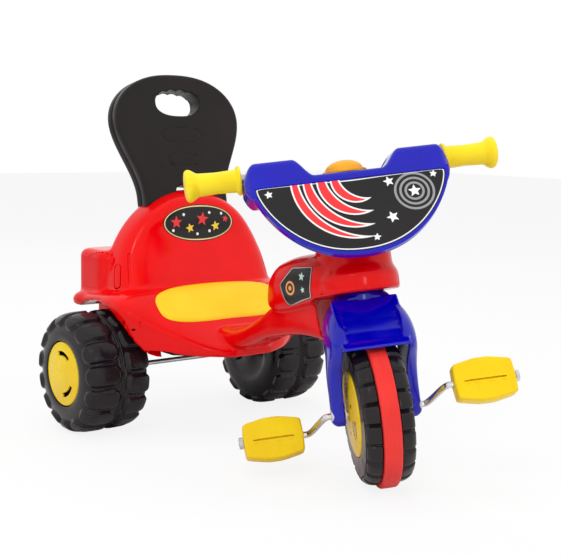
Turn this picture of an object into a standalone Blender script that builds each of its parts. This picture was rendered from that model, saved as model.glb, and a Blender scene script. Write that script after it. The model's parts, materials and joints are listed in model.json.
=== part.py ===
# Child's three-wheeled pedal tricycle with a moulded body, steered front wheel and spinning rear wheels.
# Metres, +Z up. The front is towards -Y and the rider's right is -X. The origin is on the floor under
# the middle of the whole toy, with the steering turned to the rider's right as the toy stands.

import bmesh
import bpy
import numpy as np
from math import cos, pi, radians, sin, sqrt
from mathutils import Matrix, Vector

# Shared fits
GAP = 0.0003
WALL = 0.003
ROUND_STEPS = 14

# Rear wheels and their axle
REAR_WHEEL_RADIUS = 0.095
REAR_WHEEL_WIDTH = 0.109
REAR_TRACK_HALF = 0.233
REAR_WHEEL_WALL = 0.0025
REAR_LUG_COUNT = 15
REAR_LUG_HEIGHT = 0.006
REAR_AXLE_RADIUS = 0.004
REAR_CAP_RADIUS = 0.051
REAR_CAP_DEPTH = 0.007
REAR_SLEEVE_RADIUS = 0.010
REAR_SLEEVE_LENGTH = 0.022
PUSH_NUT_RADIUS = 0.0085
PUSH_NUT_WIDTH = 0.003

# Steering axis and the way it is turned
RAKE = radians(13.84)
STEER_TURN = radians(-31.8)
STEER_AXIS_Y = -0.460
WHEEL_TRAIL = 0.013

# Front wheel
BAND_RADIUS = 0.1045
BAND_WIDTH = 0.024
BAND_DEPTH = 0.0095
BAND_STEPS = 32
TYRE_WIDTH = 0.068
TYRE_SHOULDER_RADIUS = BAND_RADIUS - 0.0065
TYRE_EDGE_RADIUS = BAND_RADIUS - 0.0175
TYRE_BLOCK_COUNT = 22
TYRE_GROOVE_DEPTH = 0.004
TYRE_WALL = 0.003
HUB_DISC_RADIUS = 0.0590
HUB_DISC_DEPTH = 0.006
HUB_DISC_CROWN = 0.004
CRANK_ROD_RADIUS = 0.0045
CRANK_THROW = 0.056
CRANK_TURN = radians(65.0)
CRANK_BEND_START = 0.066
CRANK_BEND_END = 0.092

# Pedals
PEDAL_LENGTH = 0.084
PEDAL_END_WIDTH = 0.047
PEDAL_MIDDLE_WIDTH = 0.060
PEDAL_THICKNESS = 0.022
PEDAL_INNER_END = 0.097
PEDAL_TILT = radians(70.0)
PEDAL_PLAY = 0.0005
PEDAL_CAP_LENGTH = 0.006

# Fork
FORK_HALF_WIDTH = 0.0615
FORK_SLOT_HALF = 0.044
FORK_FOOT = 0.015
FORK_CROWN_TOP = 0.158
FORK_CROWN_HALF_WIDTH = 0.036
MUDGUARD_RADIUS = BAND_RADIUS + 0.0075
MUDGUARD_WALL = 0.004
MUDGUARD_FRONT_ANGLE = radians(48.0)
MUDGUARD_REAR_ANGLE = radians(128.0)
FORK_BUSH_RADIUS = 0.008
FORK_BUSH_FLANGE = 0.0115

# Head, stem and bushes, as heights along the steering axis above the wheel centre
HEAD_BOTTOM = 0.1608
HEAD_TOP = 0.238
HEAD_RADIUS = 0.051
COLLAR_RADIUS = 0.0575
COLLAR_HEIGHT = 0.026
HEAD_TUBE_RADIUS = 0.0195
TUBE_SEAM = radians(4.0)
STEM_RADIUS = 0.011
BUSH_RADIUS = 0.015
BUSH_LENGTH = 0.020
BUSH_FLANGE_RADIUS = 0.019
TOP_FLANGE_HEIGHT = 0.003
STEM_COLLAR_RADIUS = 0.017
STEM_COLLAR_HEIGHT = 0.009
STEM_BOTTOM = 0.120
PIN_RADIUS = 0.003
PIN_HEIGHT = 0.143
PIN_HALF_LENGTH = 0.030

# Handlebar, grips, front panel and horn
BAR_HEIGHT = 0.334
BAR_BACK = 0.003
BAR_RADIUS = 0.008
BAR_DIP = 0.026
BAR_DIP_HALF = 0.044
BAR_RISE_HALF = 0.086
CLAMP_SIZE = (0.036, 0.028, 0.034)
CLAMP_DROP = 0.006
BOLT_RADIUS = 0.003
BOLT_DROP = 0.010
GRIP_RADIUS = 0.0155
GRIP_INNER_END = 0.1415
GRIP_OUTER_END = 0.2195
GRIP_INNER_FLANGE = 0.0205
GRIP_OUTER_FLANGE = 0.0225
PANEL_FORWARD = 0.045
PANEL_LEAN = radians(18.0)
PANEL_HALF_WIDTH = 0.135
PANEL_TOP = -0.018
PANEL_BOTTOM = -0.134
PANEL_RIM_DEPTH = 0.009
PANEL_PROUD = 0.0012
HOUSING_HALF_WIDTH = 0.140
HOUSING_WING_TOP = 0.0155
HOUSING_VALLEY_TOP = -0.011
HOUSING_BACK = 0.022
HOUSING_FLOOR = BAR_HEIGHT - 0.042
HOUSING_WALL = 0.0026
HOUSING_EDGE = 0.005
HOUSING_STEM_HOLE = 0.025
PANEL_BOSS_RADIUS = 0.0048
PANEL_SCREW_REACH = 0.014
PANEL_SCREW_X = 0.100
PANEL_SCREW_Z = BAR_HEIGHT - 0.025
HORN_RADIUS = 0.031
HORN_BACK = -0.012
HORN_BASE_HEIGHT = 0.005
HORN_DOME_HEIGHT = 0.020
HORN_TRAVEL = 0.004

# Body
BODY_RIM = 0.130
DOME_BASE = 0.205
DOME_FLOOR = 0.2092
TRUNK_FLOOR = 0.2099
DOME_TOP = 0.376
DOME_HALF_WIDTH = 0.149
DOME_TOP_Y = 0.019
DOME_REAR = 0.045
DOME_FRONT = 0.0525
DOME_FLARE = 0.0355
DOME_FLARE_HEIGHT = 0.110
DOME_REAR_CORNER = 2.0
DOME_FRONT_CORNER = 4.5
TRUNK_HALF_WIDTH = 0.157
TRUNK_TOP = 0.281
TRUNK_FRONT_Y = 0.010
TRUNK_REAR_Y = 0.094
TRUNK_EDGE = 0.012
FENDER_HALF_WIDTH = 0.185
ARCH_RADIUS = 0.110
ARCH_REAR_TOP = 0.190
ARCH_PLAY = 0.006
STEERING_SWEEP = 0.064
HEAD_TRIM = 0.004

# Base pan, seat pad and backrest
PAN_THICKNESS = 0.004
PAN_HEIGHT = 0.004
PAN_PLAY = 0.0008
HANGER_INSET = 0.018
HANGER_WIDTH = 0.030
HANGER_THICKNESS = 0.012
PAN_BOSS_RADIUS = 0.0055
PAN_SCREW_RADIUS = 0.0018
PAN_SCREW_LENGTH = 0.014
PAN_SCREW_HEAD = 0.0042
MOUNT_HALF_X = 0.055
MOUNT_FRONT_Y = -0.085
MOUNT_REAR_Y = 0.040
MOUNT_PROUD = 0.0015
PAD_THICKNESS = 0.004
PAD_REAR_Y = -0.061
PAD_FRONT_Y = -0.126
PAD_HALF_WIDTH = 0.121
BACKREST_LEAN = radians(12.0)
BACKREST_THICKNESS = 0.031
BACKREST_WALL = 0.004
BACKREST_FOOT_HALF = 0.080
BACKREST_SHOULDER_HALF = 0.119
BACKREST_FOOT_Z = 0.366
BACKREST_HEIGHT = 0.201
HANDLE_HOLE_HALF = 0.043
HANDLE_HOLE_RISE = 0.0215
HANDLE_HOLE_HEIGHT = 0.153
TAB_X = 0.052
TAB_WIDTH = 0.030
TAB_THICKNESS = 0.012
TAB_LENGTH = 0.034
BACKREST_FOOT_DROP = 0.018
FOOT_RELIEF_HALF = 0.022
FOOT_RELIEF_TOP = 0.016

# Derived places
ARCH_INNER_X = REAR_TRACK_HALF - REAR_WHEEL_WIDTH - ARCH_PLAY
HANGER_X = ARCH_INNER_X - HANGER_INSET
FRONT_AXLE_DIP = sin(RAKE) * sin(-STEER_TURN)
FRONT_CENTRE_HEIGHT = BAND_RADIUS * sqrt(1 - FRONT_AXLE_DIP ** 2) + BAND_WIDTH / 2 * abs(FRONT_AXLE_DIP)
STEER_AXIS_Z = FRONT_CENTRE_HEIGHT - WHEEL_TRAIL * sin(RAKE) * cos(STEER_TURN)
HEAD_FLANGE_TOP = HEAD_TOP + GAP + TOP_FLANGE_HEIGHT
CLAMP_CENTRE = BAR_HEIGHT - BAR_DIP
STEM_TOP = CLAMP_CENTRE - BAR_RADIUS - 0.002
BOLT_HEIGHT = STEM_TOP - BOLT_DROP
AXLE_END = REAR_TRACK_HALF - REAR_CAP_DEPTH + PUSH_NUT_WIDTH
PAN_BOTTOM = BODY_RIM + PAN_HEIGHT
PAN_TOP = PAN_BOTTOM + PAN_THICKNESS
PAN_SCREW_PLACES = ((-0.085, 0.070), (0.085, 0.070), (-0.072, -0.115), (0.072, -0.115))
PANEL_SCREW_PLACES = ((-PANEL_SCREW_X, PANEL_SCREW_Z), (PANEL_SCREW_X, PANEL_SCREW_Z))
HORN_SEAT = BAR_HEIGHT + HOUSING_VALLEY_TOP * cos(PANEL_LEAN)

scene = bpy.context.scene
for old in list(bpy.data.objects):
    bpy.data.objects.remove(old)


def material(name, colour, roughness, metallic=0.0):
    """A plain finish with one colour, roughness and metallic value."""
    made = bpy.data.materials.new(name)
    made.use_nodes = True
    shader = made.node_tree.nodes["Principled BSDF"]
    shader.inputs["Base Color"].default_value = (*colour, 1.0)
    shader.inputs["Roughness"].default_value = roughness
    shader.inputs["Metallic"].default_value = metallic
    return made


RED = material("red_plastic", (0.80, 0.0, 0.0), 0.25)
BLUE = material("blue_plastic", (0.0, 0.0, 0.42), 0.25)
YELLOW = material("yellow_plastic", (0.95, 0.70, 0.01), 0.3)
ORANGE = material("orange_plastic", (0.92, 0.45, 0.03), 0.35)
BLACK = material("black_plastic", (0.02, 0.017, 0.017), 0.45)
TYRE = material("black_tyre", (0.018, 0.015, 0.016), 0.5)
BAND = material("red_band", (0.85, 0.05, 0.04), 0.4)
STEEL = material("steel", (0.6, 0.6, 0.6), 0.3, 1.0)
WHITE = material("white_nylon", (0.8, 0.8, 0.78), 0.5)


def frame_empty(name, parent, place):
    """An empty that carries a moving piece, with its origin on the piece's joint axis."""
    empty = bpy.data.objects.new(name, None)
    empty.empty_display_size = 0.03
    scene.collection.objects.link(empty)
    empty.parent = parent
    empty.matrix_local = place
    return empty


def work(bm, place=None):
    """A throwaway solid that is joined to, or cut from, a part."""
    bmesh.ops.recalc_face_normals(bm, faces=bm.faces)
    mesh = bpy.data.meshes.new("work")
    bm.to_mesh(mesh)
    bm.free()
    if place is not None:
        mesh.transform(place)
    solid = bpy.data.objects.new("work", mesh)
    scene.collection.objects.link(solid)
    return solid


def combine(target, tool, operation):
    """Joins, cuts or trims the target with the tool, and removes the tool."""
    modifier = target.modifiers.new("join", "BOOLEAN")
    modifier.operation = operation
    modifier.object = tool
    modifier.solver = "EXACT"
    graph = bpy.context.evaluated_depsgraph_get()
    target.data = bpy.data.meshes.new_from_object(target.evaluated_get(graph))
    target.modifiers.clear()
    bpy.data.objects.remove(tool)
    return target


def join(target, *tools):
    for tool in tools:
        combine(target, tool, "UNION")
    return target


def cut(target, *tools):
    for tool in tools:
        combine(target, tool, "DIFFERENCE")
    return target


def gather(solids):
    """Puts separate solids that don't touch into one tool."""
    bm = bmesh.new()
    for solid in solids:
        bm.from_mesh(solid.data)
        bpy.data.objects.remove(solid)
    return work(bm)


def part(solid, name, finish, parent, smooth=40.0):
    """Turns a finished solid into a named part that rides on its parent."""
    solid.name = name
    solid.data.name = name
    solid.data.materials.clear()
    solid.data.materials.append(finish)
    solid.data.shade_smooth()
    solid.data.set_sharp_from_angle(angle=radians(smooth))
    solid.parent = parent
    return solid


def loft(rings):
    """Skins a row of closed rings with equal point counts and caps both ends."""
    bm = bmesh.new()
    rows = [[bm.verts.new(point) for point in ring] for ring in rings]
    count = len(rows[0])
    for low, high in zip(rows, rows[1:]):
        for i in range(count):
            bm.faces.new((low[i], low[(i + 1) % count], high[(i + 1) % count], high[i]))
    bm.faces.new(rows[0])
    bm.faces.new(rows[-1])
    return bm


def turned(profile, steps=ROUND_STEPS, closed=False):
    """Turns a profile of (radius, height) points about Z; a closed profile leaves a bore."""
    bm = bmesh.new()
    rows = []
    for radius, height in profile:
        if radius < 1e-7:
            rows.append([bm.verts.new((0, 0, height))] * steps)
        else:
            angles = [2 * pi * i / steps for i in range(steps)]
            rows.append([bm.verts.new((radius * cos(a), radius * sin(a), height)) for a in angles])
    pairs = list(zip(rows, rows[1:]))
    if closed:
        pairs.append((rows[-1], rows[0]))
    for low, high in pairs:
        for i in range(steps):
            j = (i + 1) % steps
            corners = list(dict.fromkeys((low[i], low[j], high[j], high[i])))
            if len(corners) > 2:
                bm.faces.new(corners)
    return bm


def slab(outline, bottom, top):
    """Extrudes a flat outline of (x, y) points between two heights."""
    return loft([[(x, y, bottom) for x, y in outline], [(x, y, top) for x, y in outline]])


def box(low, high):
    """A block between two corners."""
    outline = [(low[0], low[1]), (high[0], low[1]), (high[0], high[1]), (low[0], high[1])]
    return slab(outline, low[2], high[2])


def rod(radius, start, end, steps=ROUND_STEPS):
    """A plain round bar along Z between two heights."""
    return turned([(0, start), (radius, start), (radius, end), (0, end)], steps)


def superellipse(half_x, half_y, power, count):
    """Points round an oval whose corners fill out as the power grows."""
    t = 2 * pi * (np.arange(count) + 0.5) / count
    x = half_x * np.sign(np.cos(t)) * np.abs(np.cos(t)) ** (2 / power)
    y = half_y * np.sign(np.sin(t)) * np.abs(np.sin(t)) ** (2 / power)
    return np.stack([x, y], 1)


def smooth_rows(stations, count):
    """Reads a smooth curve through hand-set stations at even steps of the first value."""
    stations = np.array(sorted(stations))
    key = stations[:, 0]
    slope = np.gradient(stations, key, axis=0)
    at = np.linspace(key[0], key[-1], count)
    i = np.clip(np.searchsorted(key, at) - 1, 0, len(key) - 2)
    span = (key[i + 1] - key[i])[:, None]
    t = ((at - key[i])[:, None]) / span
    h00, h10 = 2 * t ** 3 - 3 * t ** 2 + 1, t ** 3 - 2 * t ** 2 + t
    h01, h11 = -2 * t ** 3 + 3 * t ** 2, t ** 3 - t ** 2
    return h00 * stations[i] + h10 * span * slope[i] + h01 * stations[i + 1] + h11 * span * slope[i + 1]


ALONG_X = Matrix.Rotation(pi / 2, 4, "Y")
ALONG_Y = Matrix.Rotation(-pi / 2, 4, "X")

toy = frame_empty("tricycle", None, Matrix.Identity(4))
steering = frame_empty(
    "steering",
    toy,
    Matrix.Translation((0, STEER_AXIS_Y, STEER_AXIS_Z))
    @ Matrix.Rotation(-RAKE, 4, "X")
    @ Matrix.Rotation(STEER_TURN, 4, "Z"),
)
front_axle = frame_empty(
    "front_axle",
    steering,
    Matrix.Translation((0, -WHEEL_TRAIL, 0)) @ Matrix.Rotation(CRANK_TURN, 4, "X"),
)
STRAIGHT_AHEAD = (
    Matrix.Translation((0, STEER_AXIS_Y, STEER_AXIS_Z)) @ Matrix.Rotation(-RAKE, 4, "X")
)


# Body shell: dome, trunk, skirt with wheel arches, nose, tank and steering head in one hollow moulding
def dome(grow=0.0, fine=True):
    """The domed rear body: stacked ovals whose sides and back round over at the top."""
    rings = []
    count, rows = (24, 8) if fine else (16, 6)
    floor = DOME_FLOOR - grow / 4
    heights = floor + (DOME_TOP + grow - floor) * (1 - (1 - np.linspace(0, 0.985, rows)) ** 1.6)
    for z in heights:
        u = max(z - DOME_BASE, 0) / (DOME_TOP + grow - DOME_BASE)
        side = (DOME_HALF_WIDTH + grow) * sqrt(1 - u ** 2.1)
        rear = (DOME_REAR + grow) * sqrt(1 - u ** 5)
        flare = DOME_FLARE * max(0, 1 - (z - DOME_BASE) / DOME_FLARE_HEIGHT) ** 1.5
        front = (DOME_FRONT + grow + flare) * sqrt(1 - u ** 14)
        back = superellipse(side, rear, DOME_REAR_CORNER, count)
        face = superellipse(side, front, DOME_FRONT_CORNER - 0.4 * u, count)
        outline = np.where(back[:, 1:] > 0, back, face)
        rings.append([(x, y + DOME_TOP_Y, z) for x, y in outline])
    return work(loft(rings))


def trunk(grow=0.0, fine=True):
    """The square-shouldered block behind the dome."""
    rings = []
    floor = TRUNK_FLOOR - grow / 4
    middle = (TRUNK_FRONT_Y + TRUNK_REAR_Y) / 2
    for z, inset in (
        (floor, 0),
        (TRUNK_TOP - TRUNK_EDGE, 0),
        (TRUNK_TOP - TRUNK_EDGE * 0.3, TRUNK_EDGE * 0.3),
        (TRUNK_TOP, TRUNK_EDGE),
    ):
        side = TRUNK_HALF_WIDTH + grow - inset
        depth = (TRUNK_REAR_Y - TRUNK_FRONT_Y) / 2 + grow - inset
        top = z + (grow if z > floor else 0)
        count = 20 if fine else 16
        rings.append([(x, y + middle, top) for x, y in superellipse(side, depth, 9, count)])
    return work(loft(rings))


# Stations along Y: position, half-width above, half-width below, top height, bottom height
SKIRT_STATIONS = (
    (0.094, 0.172, 0.128, 0.208, 0.142),
    (0.082, FENDER_HALF_WIDTH - 0.002, 0.136, 0.215, BODY_RIM),
    (0.040, FENDER_HALF_WIDTH, 0.144, 0.219, BODY_RIM),
    (-0.010, FENDER_HALF_WIDTH, 0.150, 0.225, BODY_RIM),
    (-0.050, FENDER_HALF_WIDTH, 0.154, 0.228, BODY_RIM),
    (-0.075, 0.182, 0.157, 0.222, BODY_RIM),
    (-0.092, 0.173, 0.156, 0.210, BODY_RIM),
    (-0.108, 0.155, 0.143, 0.196, BODY_RIM),
    (-0.128, 0.129, 0.120, 0.179, BODY_RIM),
    (-0.150, 0.098, 0.096, 0.162, BODY_RIM),
    (-0.170, 0.064, 0.068, 0.148, BODY_RIM),
    (-0.184, 0.030, 0.036, 0.139, BODY_RIM),
)
NOSE_STATIONS = (
    (-0.080, 0.058, 0.052, 0.205, BODY_RIM + 0.004),
    (-0.118, 0.054, 0.050, 0.183, BODY_RIM + 0.001),
    (-0.160, 0.047, 0.044, 0.180, BODY_RIM + 0.001),
    (-0.200, 0.041, 0.038, 0.188, 0.140),
    (-0.240, 0.037, 0.034, 0.206, 0.161),
    (-0.275, 0.036, 0.032, 0.230, 0.177),
    (-0.310, 0.036, 0.032, 0.250, 0.184),
    (-0.400, 0.036, 0.032, 0.275, 0.186),
)
TANK_STATIONS = (
    (-0.266, 0.030, 0.034, 0.252, 0.222),
    (-0.275, 0.043, 0.046, 0.269, 0.216),
    (-0.290, 0.051, 0.053, 0.285, 0.215),
    (-0.318, 0.056, 0.058, 0.299, 0.221),
    (-0.355, 0.057, 0.060, 0.308, 0.232),
    (-0.405, 0.052, 0.058, 0.312, 0.245),
    (-0.430, 0.042, 0.046, 0.310, 0.252),
)


def ribbed_hull(stations, power, grow, count, rows, floor_grow=None):
    """Lofts upright sections, each an oval that widens from its bottom to its top."""
    down = grow if floor_grow is None else floor_grow
    table = smooth_rows(stations, rows)
    table[0, 0] -= grow
    table[-1, 0] += grow
    rings = []
    for y, above, below, top, bottom in table:
        high, low = top + grow, bottom - down
        section = superellipse(1.0, (high - low) / 2, power, count)
        middle = (high + low) / 2
        ring = []
        for x, z in section:
            share = (z + middle - low) / (high - low)
            ring.append((x * (below + (above - below) * share + grow), y, z + middle))
        rings.append(ring)
    return work(loft(rings))


def skirt(grow=0.0, fine=True, floor_grow=None):
    return ribbed_hull(SKIRT_STATIONS, 5.0, grow, 20 if fine else 16, 12 if fine else 9, floor_grow)


def nose(grow=0.0, fine=True):
    return ribbed_hull(NOSE_STATIONS, 4.0, grow, 12 if fine else 10, 7 if fine else 5)


def tank(grow=0.0, fine=True):
    return ribbed_hull(TANK_STATIONS, 3.6, grow, 16 if fine else 12, 7 if fine else 5)


def head(grow=0.0, fine=True):
    """The steering head: an upright drum with a wider collar at its foot."""
    radius, collar = HEAD_RADIUS + grow, COLLAR_RADIUS + grow
    profile = [
        (0, HEAD_BOTTOM - HEAD_TRIM - grow),
        (collar, HEAD_BOTTOM - HEAD_TRIM - grow),
        (collar, HEAD_BOTTOM + COLLAR_HEIGHT),
        (radius, HEAD_BOTTOM + COLLAR_HEIGHT + 0.008),
        (radius, HEAD_TOP - 0.008 + grow),
        (radius - 0.007, HEAD_TOP + grow),
        (0, HEAD_TOP + grow),
    ]
    return work(turned(profile, 22 if fine else 16), STRAIGHT_AHEAD)


def arches(grow=0.0):
    """The two wheel openings: round in front and above, and open behind the wheel."""
    reach, top = ARCH_RADIUS + grow, ARCH_REAR_TOP + grow
    turns = np.linspace(1.5 * pi, np.arcsin((top - REAR_WHEEL_RADIUS) / reach), 22)
    outline = [(reach * cos(a), REAR_WHEEL_RADIUS + reach * sin(a)) for a in turns]
    outline += [(0.30, top), (0.30, REAR_WHEEL_RADIUS - reach)]
    openings = []
    for side in (-1, 1):
        near, far = sorted((side * (ARCH_INNER_X - grow), side * 0.30))
        openings.append(work(loft([[(x, y, z) for y, z in outline] for x in (near, far)])))
    return openings


def body_solid(grow=0.0, fine=True, floor_grow=None):
    """The whole body without its hollow, or the same shape drawn in or out all round."""
    solid = dome(grow, fine)
    join(solid, trunk(grow, fine), skirt(grow, fine, floor_grow), nose(grow, fine))
    join(solid, tank(grow, fine), head(grow, fine))
    cut(solid, *arches(-grow))
    sweep = rod(STEERING_SWEEP - grow, -0.02, HEAD_BOTTOM - grow, 24)
    return cut(solid, work(sweep, STRAIGHT_AHEAD))


def body_shell():
    tube = STRAIGHT_AHEAD @ Matrix.Rotation(TUBE_SEAM, 4, "Z")
    posts = [work(rod(HEAD_TUBE_RADIUS, HEAD_BOTTOM - 0.01, HEAD_TOP + 0.01), tube)]
    holes = [work(rod(BUSH_RADIUS + GAP, HEAD_BOTTOM - 0.01, HEAD_TOP + 0.01), tube)]
    for x, y in PAN_SCREW_PLACES:
        place = Matrix.Translation((x, y, 0))
        posts.append(work(rod(PAN_BOSS_RADIUS, PAN_TOP + GAP, DOME_TOP, 10), place))
        hole_top = PAN_TOP + PAN_SCREW_LENGTH
        holes.append(work(rod(PAN_SCREW_RADIUS + GAP, PAN_BOTTOM, hole_top, 8), place))
    for side in (-1, 1):
        holes.append(backrest_tab(side, GAP))
    room = cut(body_solid(-WALL, False, 0.02), gather(posts))
    return cut(body_solid(), room, gather(holes))


def base_pan():
    """The floor that closes the shell and carries the axle in two hangers, with a raised flat underneath."""
    side = ARCH_INNER_X - WALL - PAN_PLAY
    pan = work(box((-side, -0.3, PAN_BOTTOM), (side, 0.3, PAN_TOP)))
    combine(pan, skirt(-WALL - PAN_PLAY, False, 0.02), "INTERSECT")
    low_face = PAN_BOTTOM - MOUNT_PROUD
    seat = box((-MOUNT_HALF_X, MOUNT_FRONT_Y, low_face), (MOUNT_HALF_X, MOUNT_REAR_Y, PAN_TOP - 0.001))
    join(pan, work(seat))
    half = HANGER_WIDTH / 2
    foot = REAR_WHEEL_RADIUS
    arc = [(half * cos(a), foot + half * sin(a)) for a in np.linspace(pi, 2 * pi, 9)]
    outline = [(half * 1.4, PAN_TOP - 0.001)] + arc[::-1] + [(-half * 1.4, PAN_TOP - 0.001)]
    for side in (-1, 1):
        low = side * HANGER_X - HANGER_THICKNESS / 2
        lug = loft([[(x, y, z) for y, z in outline] for x in (low, low + HANGER_THICKNESS)])
        join(pan, work(lug))
    axle = Matrix.Translation((0, 0, REAR_WHEEL_RADIUS)) @ ALONG_X
    cut(pan, work(rod(REAR_AXLE_RADIUS + GAP, -0.2, 0.2), axle))
    for x, y in PAN_SCREW_PLACES:
        place = Matrix.Translation((x, y, 0))
        cut(pan, work(rod(PAN_SCREW_RADIUS + GAP, PAN_BOTTOM - 0.01, PAN_TOP + 0.01, 8), place))
    return pan


def seat_pad():
    """The yellow seat insert: a plate that follows the seat's own surface."""
    middle = (PAD_REAR_Y + PAD_FRONT_Y) / 2
    depth = (PAD_REAR_Y - PAD_FRONT_Y) / 2
    outline = []
    for a in np.linspace(0, 2 * pi, 32, endpoint=False):
        x = PAD_HALF_WIDTH * np.sign(cos(a)) * abs(cos(a)) ** 0.7
        y = middle + depth * np.sign(sin(a)) * abs(sin(a)) ** 0.6 - 0.0055 * abs(cos(a))
        outline.append((x, y))
    pad = work(slab(outline, (BODY_RIM + DOME_BASE) / 2, DOME_BASE + 0.055))
    combine(pad, skirt(PAD_THICKNESS), "INTERSECT")
    cut(pad, skirt(GAP), dome(GAP))
    return pad


# Backrest, in its own leaning frame: X across, Z up along the panel, Y through its thickness
BACKREST_PLACE = Matrix.Translation((0, DOME_TOP_Y, BACKREST_FOOT_Z)) @ Matrix.Rotation(
    -BACKREST_LEAN, 4, "X"
)


def backrest_outline(inset=0.0, count=9):
    """Straight foot, swelling shoulders and a round top, read off a smooth curve of half-widths."""
    top = BACKREST_HEIGHT - inset
    shoulder = BACKREST_SHOULDER_HALF - inset
    foot = BACKREST_FOOT_HALF - inset
    belly = 0.62 * BACKREST_HEIGHT
    right = []
    for z in np.linspace(inset if inset else -BACKREST_FOOT_DROP, belly, count):
        share = max(z, 0) / belly
        right.append((foot + (shoulder - foot) * (3 * share ** 2 - 2 * share ** 3), z))
    for a in np.linspace(0, pi / 2, count)[1:]:
        right.append((shoulder * cos(a) ** 0.85, belly + (top - belly) * sin(a)))
    left = [(-x, z) for x, z in right[::-1]]
    return right + left[1:]


def upright_slab(outline, front, back):
    """Extrudes an outline of (x, z) points along Y."""
    return loft([[(x, y, z) for x, z in outline] for y in (front, back)])


def backrest_tab(side, grow=0.0):
    """A tongue under the backrest that plugs into the top of the dome."""
    low = (side * TAB_X - TAB_WIDTH / 2 - grow, -TAB_THICKNESS / 2 - grow, -TAB_LENGTH - grow)
    high = (side * TAB_X + TAB_WIDTH / 2 + grow, TAB_THICKNESS / 2 + grow, 0.012)
    return work(box(low, high), BACKREST_PLACE)


def backrest():
    half = BACKREST_THICKNESS / 2
    panel = work(upright_slab(backrest_outline(), -half, half))
    tray = work(upright_slab(backrest_outline(BACKREST_WALL), -half + BACKREST_WALL, half + 0.01))
    handle = [
        (HANDLE_HOLE_HALF * 2 * x, HANDLE_HOLE_HEIGHT + HANDLE_HOLE_RISE * 2 * z)
        for x, z in superellipse(0.5, 0.5, 2.4, 20)
    ]
    wall_x = (HANDLE_HOLE_HALF + BACKREST_WALL) / HANDLE_HOLE_HALF
    wall_z = (HANDLE_HOLE_RISE + BACKREST_WALL) / HANDLE_HOLE_RISE
    ring = [(x * wall_x, HANDLE_HOLE_HEIGHT + (z - HANDLE_HOLE_HEIGHT) * wall_z) for x, z in handle]
    cut(tray, work(upright_slab(ring, -half, half + 0.02)))
    cut(panel, tray, work(upright_slab(handle, -half - 0.01, half + 0.01)))
    panel.data.transform(BACKREST_PLACE)
    relief = box((-FOOT_RELIEF_HALF, -0.1, -0.05), (FOOT_RELIEF_HALF, 0.1, FOOT_RELIEF_TOP))
    cut(panel, work(relief, BACKREST_PLACE), dome(GAP))
    for side in (-1, 1):
        join(panel, backrest_tab(side))
    return panel


part(body_shell(), "body_shell", RED, toy)
part(base_pan(), "base_pan", BLACK, toy)
part(seat_pad(), "seat_pad", YELLOW, toy)
part(backrest(), "backrest", BLACK, toy)


def screw(length, radius, head_radius, head_height=0.002):
    """A screw pointing along +Z with its head's top face at zero."""
    profile = [
        (0, -head_height),
        (head_radius * 0.8, -head_height),
        (head_radius, 0),
        (radius, 0),
        (radius, length - radius),
        (0, length),
    ]
    return work(turned(profile, 8))


for number, (x, y) in enumerate(PAN_SCREW_PLACES, 1):
    fastener = screw(PAN_THICKNESS + PAN_SCREW_LENGTH - 0.002, PAN_SCREW_RADIUS, PAN_SCREW_HEAD)
    fastener.data.transform(Matrix.Translation((x, y, PAN_BOTTOM - GAP)))
    part(fastener, f"pan_screw_{number}", STEEL, toy)


# Rear axle and wheels
def lugged_tread(width, radius, lug, count):
    """A wheel blank with two staggered rows of lugs; X is its axle and +X its outer face."""
    low = radius - lug
    edge = width / 2
    rows = [
        (0, edge, 0, 0),
        (radius - 0.022, edge - 0.001, 0, 0),
        (low - 0.006, edge - 0.009, lug, 0),
        (low, edge - 0.018, lug, 0),
        (low, edge - 0.052, lug, 0),
        (low, edge - 0.065, 0, lug),
        (low, 0.013 - edge, 0, lug),
        (radius - 0.018, -edge, 0, 0),
        (0, -edge, 0, 0),
    ]
    shares = (0.0, 0.10, 0.50, 0.60)
    first = (0, 1, 1, 0)
    second = (1, 0, 0, 1)
    turn = -(0.3 / count) * 2 * pi
    bm = bmesh.new()
    lines = []
    for base, height, outer, inner in rows:
        line = []
        if base == 0:
            line = [bm.verts.new((height, 0, 0))] * (4 * count)
        else:
            for k in range(4 * count):
                angle = turn + 2 * pi * (k // 4 + shares[k % 4]) / count
                reach = base + outer * first[k % 4] + inner * second[k % 4]
                line.append(bm.verts.new((height, reach * sin(angle), -reach * cos(angle))))
        lines.append(line)
    for left, right in zip(lines, lines[1:]):
        for i in range(len(left)):
            j = (i + 1) % len(left)
            bm.faces.new(list(dict.fromkeys((left[i], left[j], right[j], right[i]))))
    return work(bm)


def wheel_cavity(radius, half_width, sleeve_radius, sleeve_start, outer_end, inner_end):
    """The room inside a blown wheel, reaching the bore between its two sleeves."""
    profile = [
        (0, -sleeve_start),
        (sleeve_radius, -sleeve_start),
        (sleeve_radius, -inner_end),
        (radius - 0.018, -inner_end),
        (radius, -inner_end + 0.014),
        (radius, outer_end - 0.014),
        (radius - 0.018, outer_end),
        (sleeve_radius, outer_end),
        (sleeve_radius, sleeve_start),
        (0, sleeve_start),
    ]
    return work(turned(profile, 14), ALONG_X)


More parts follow.
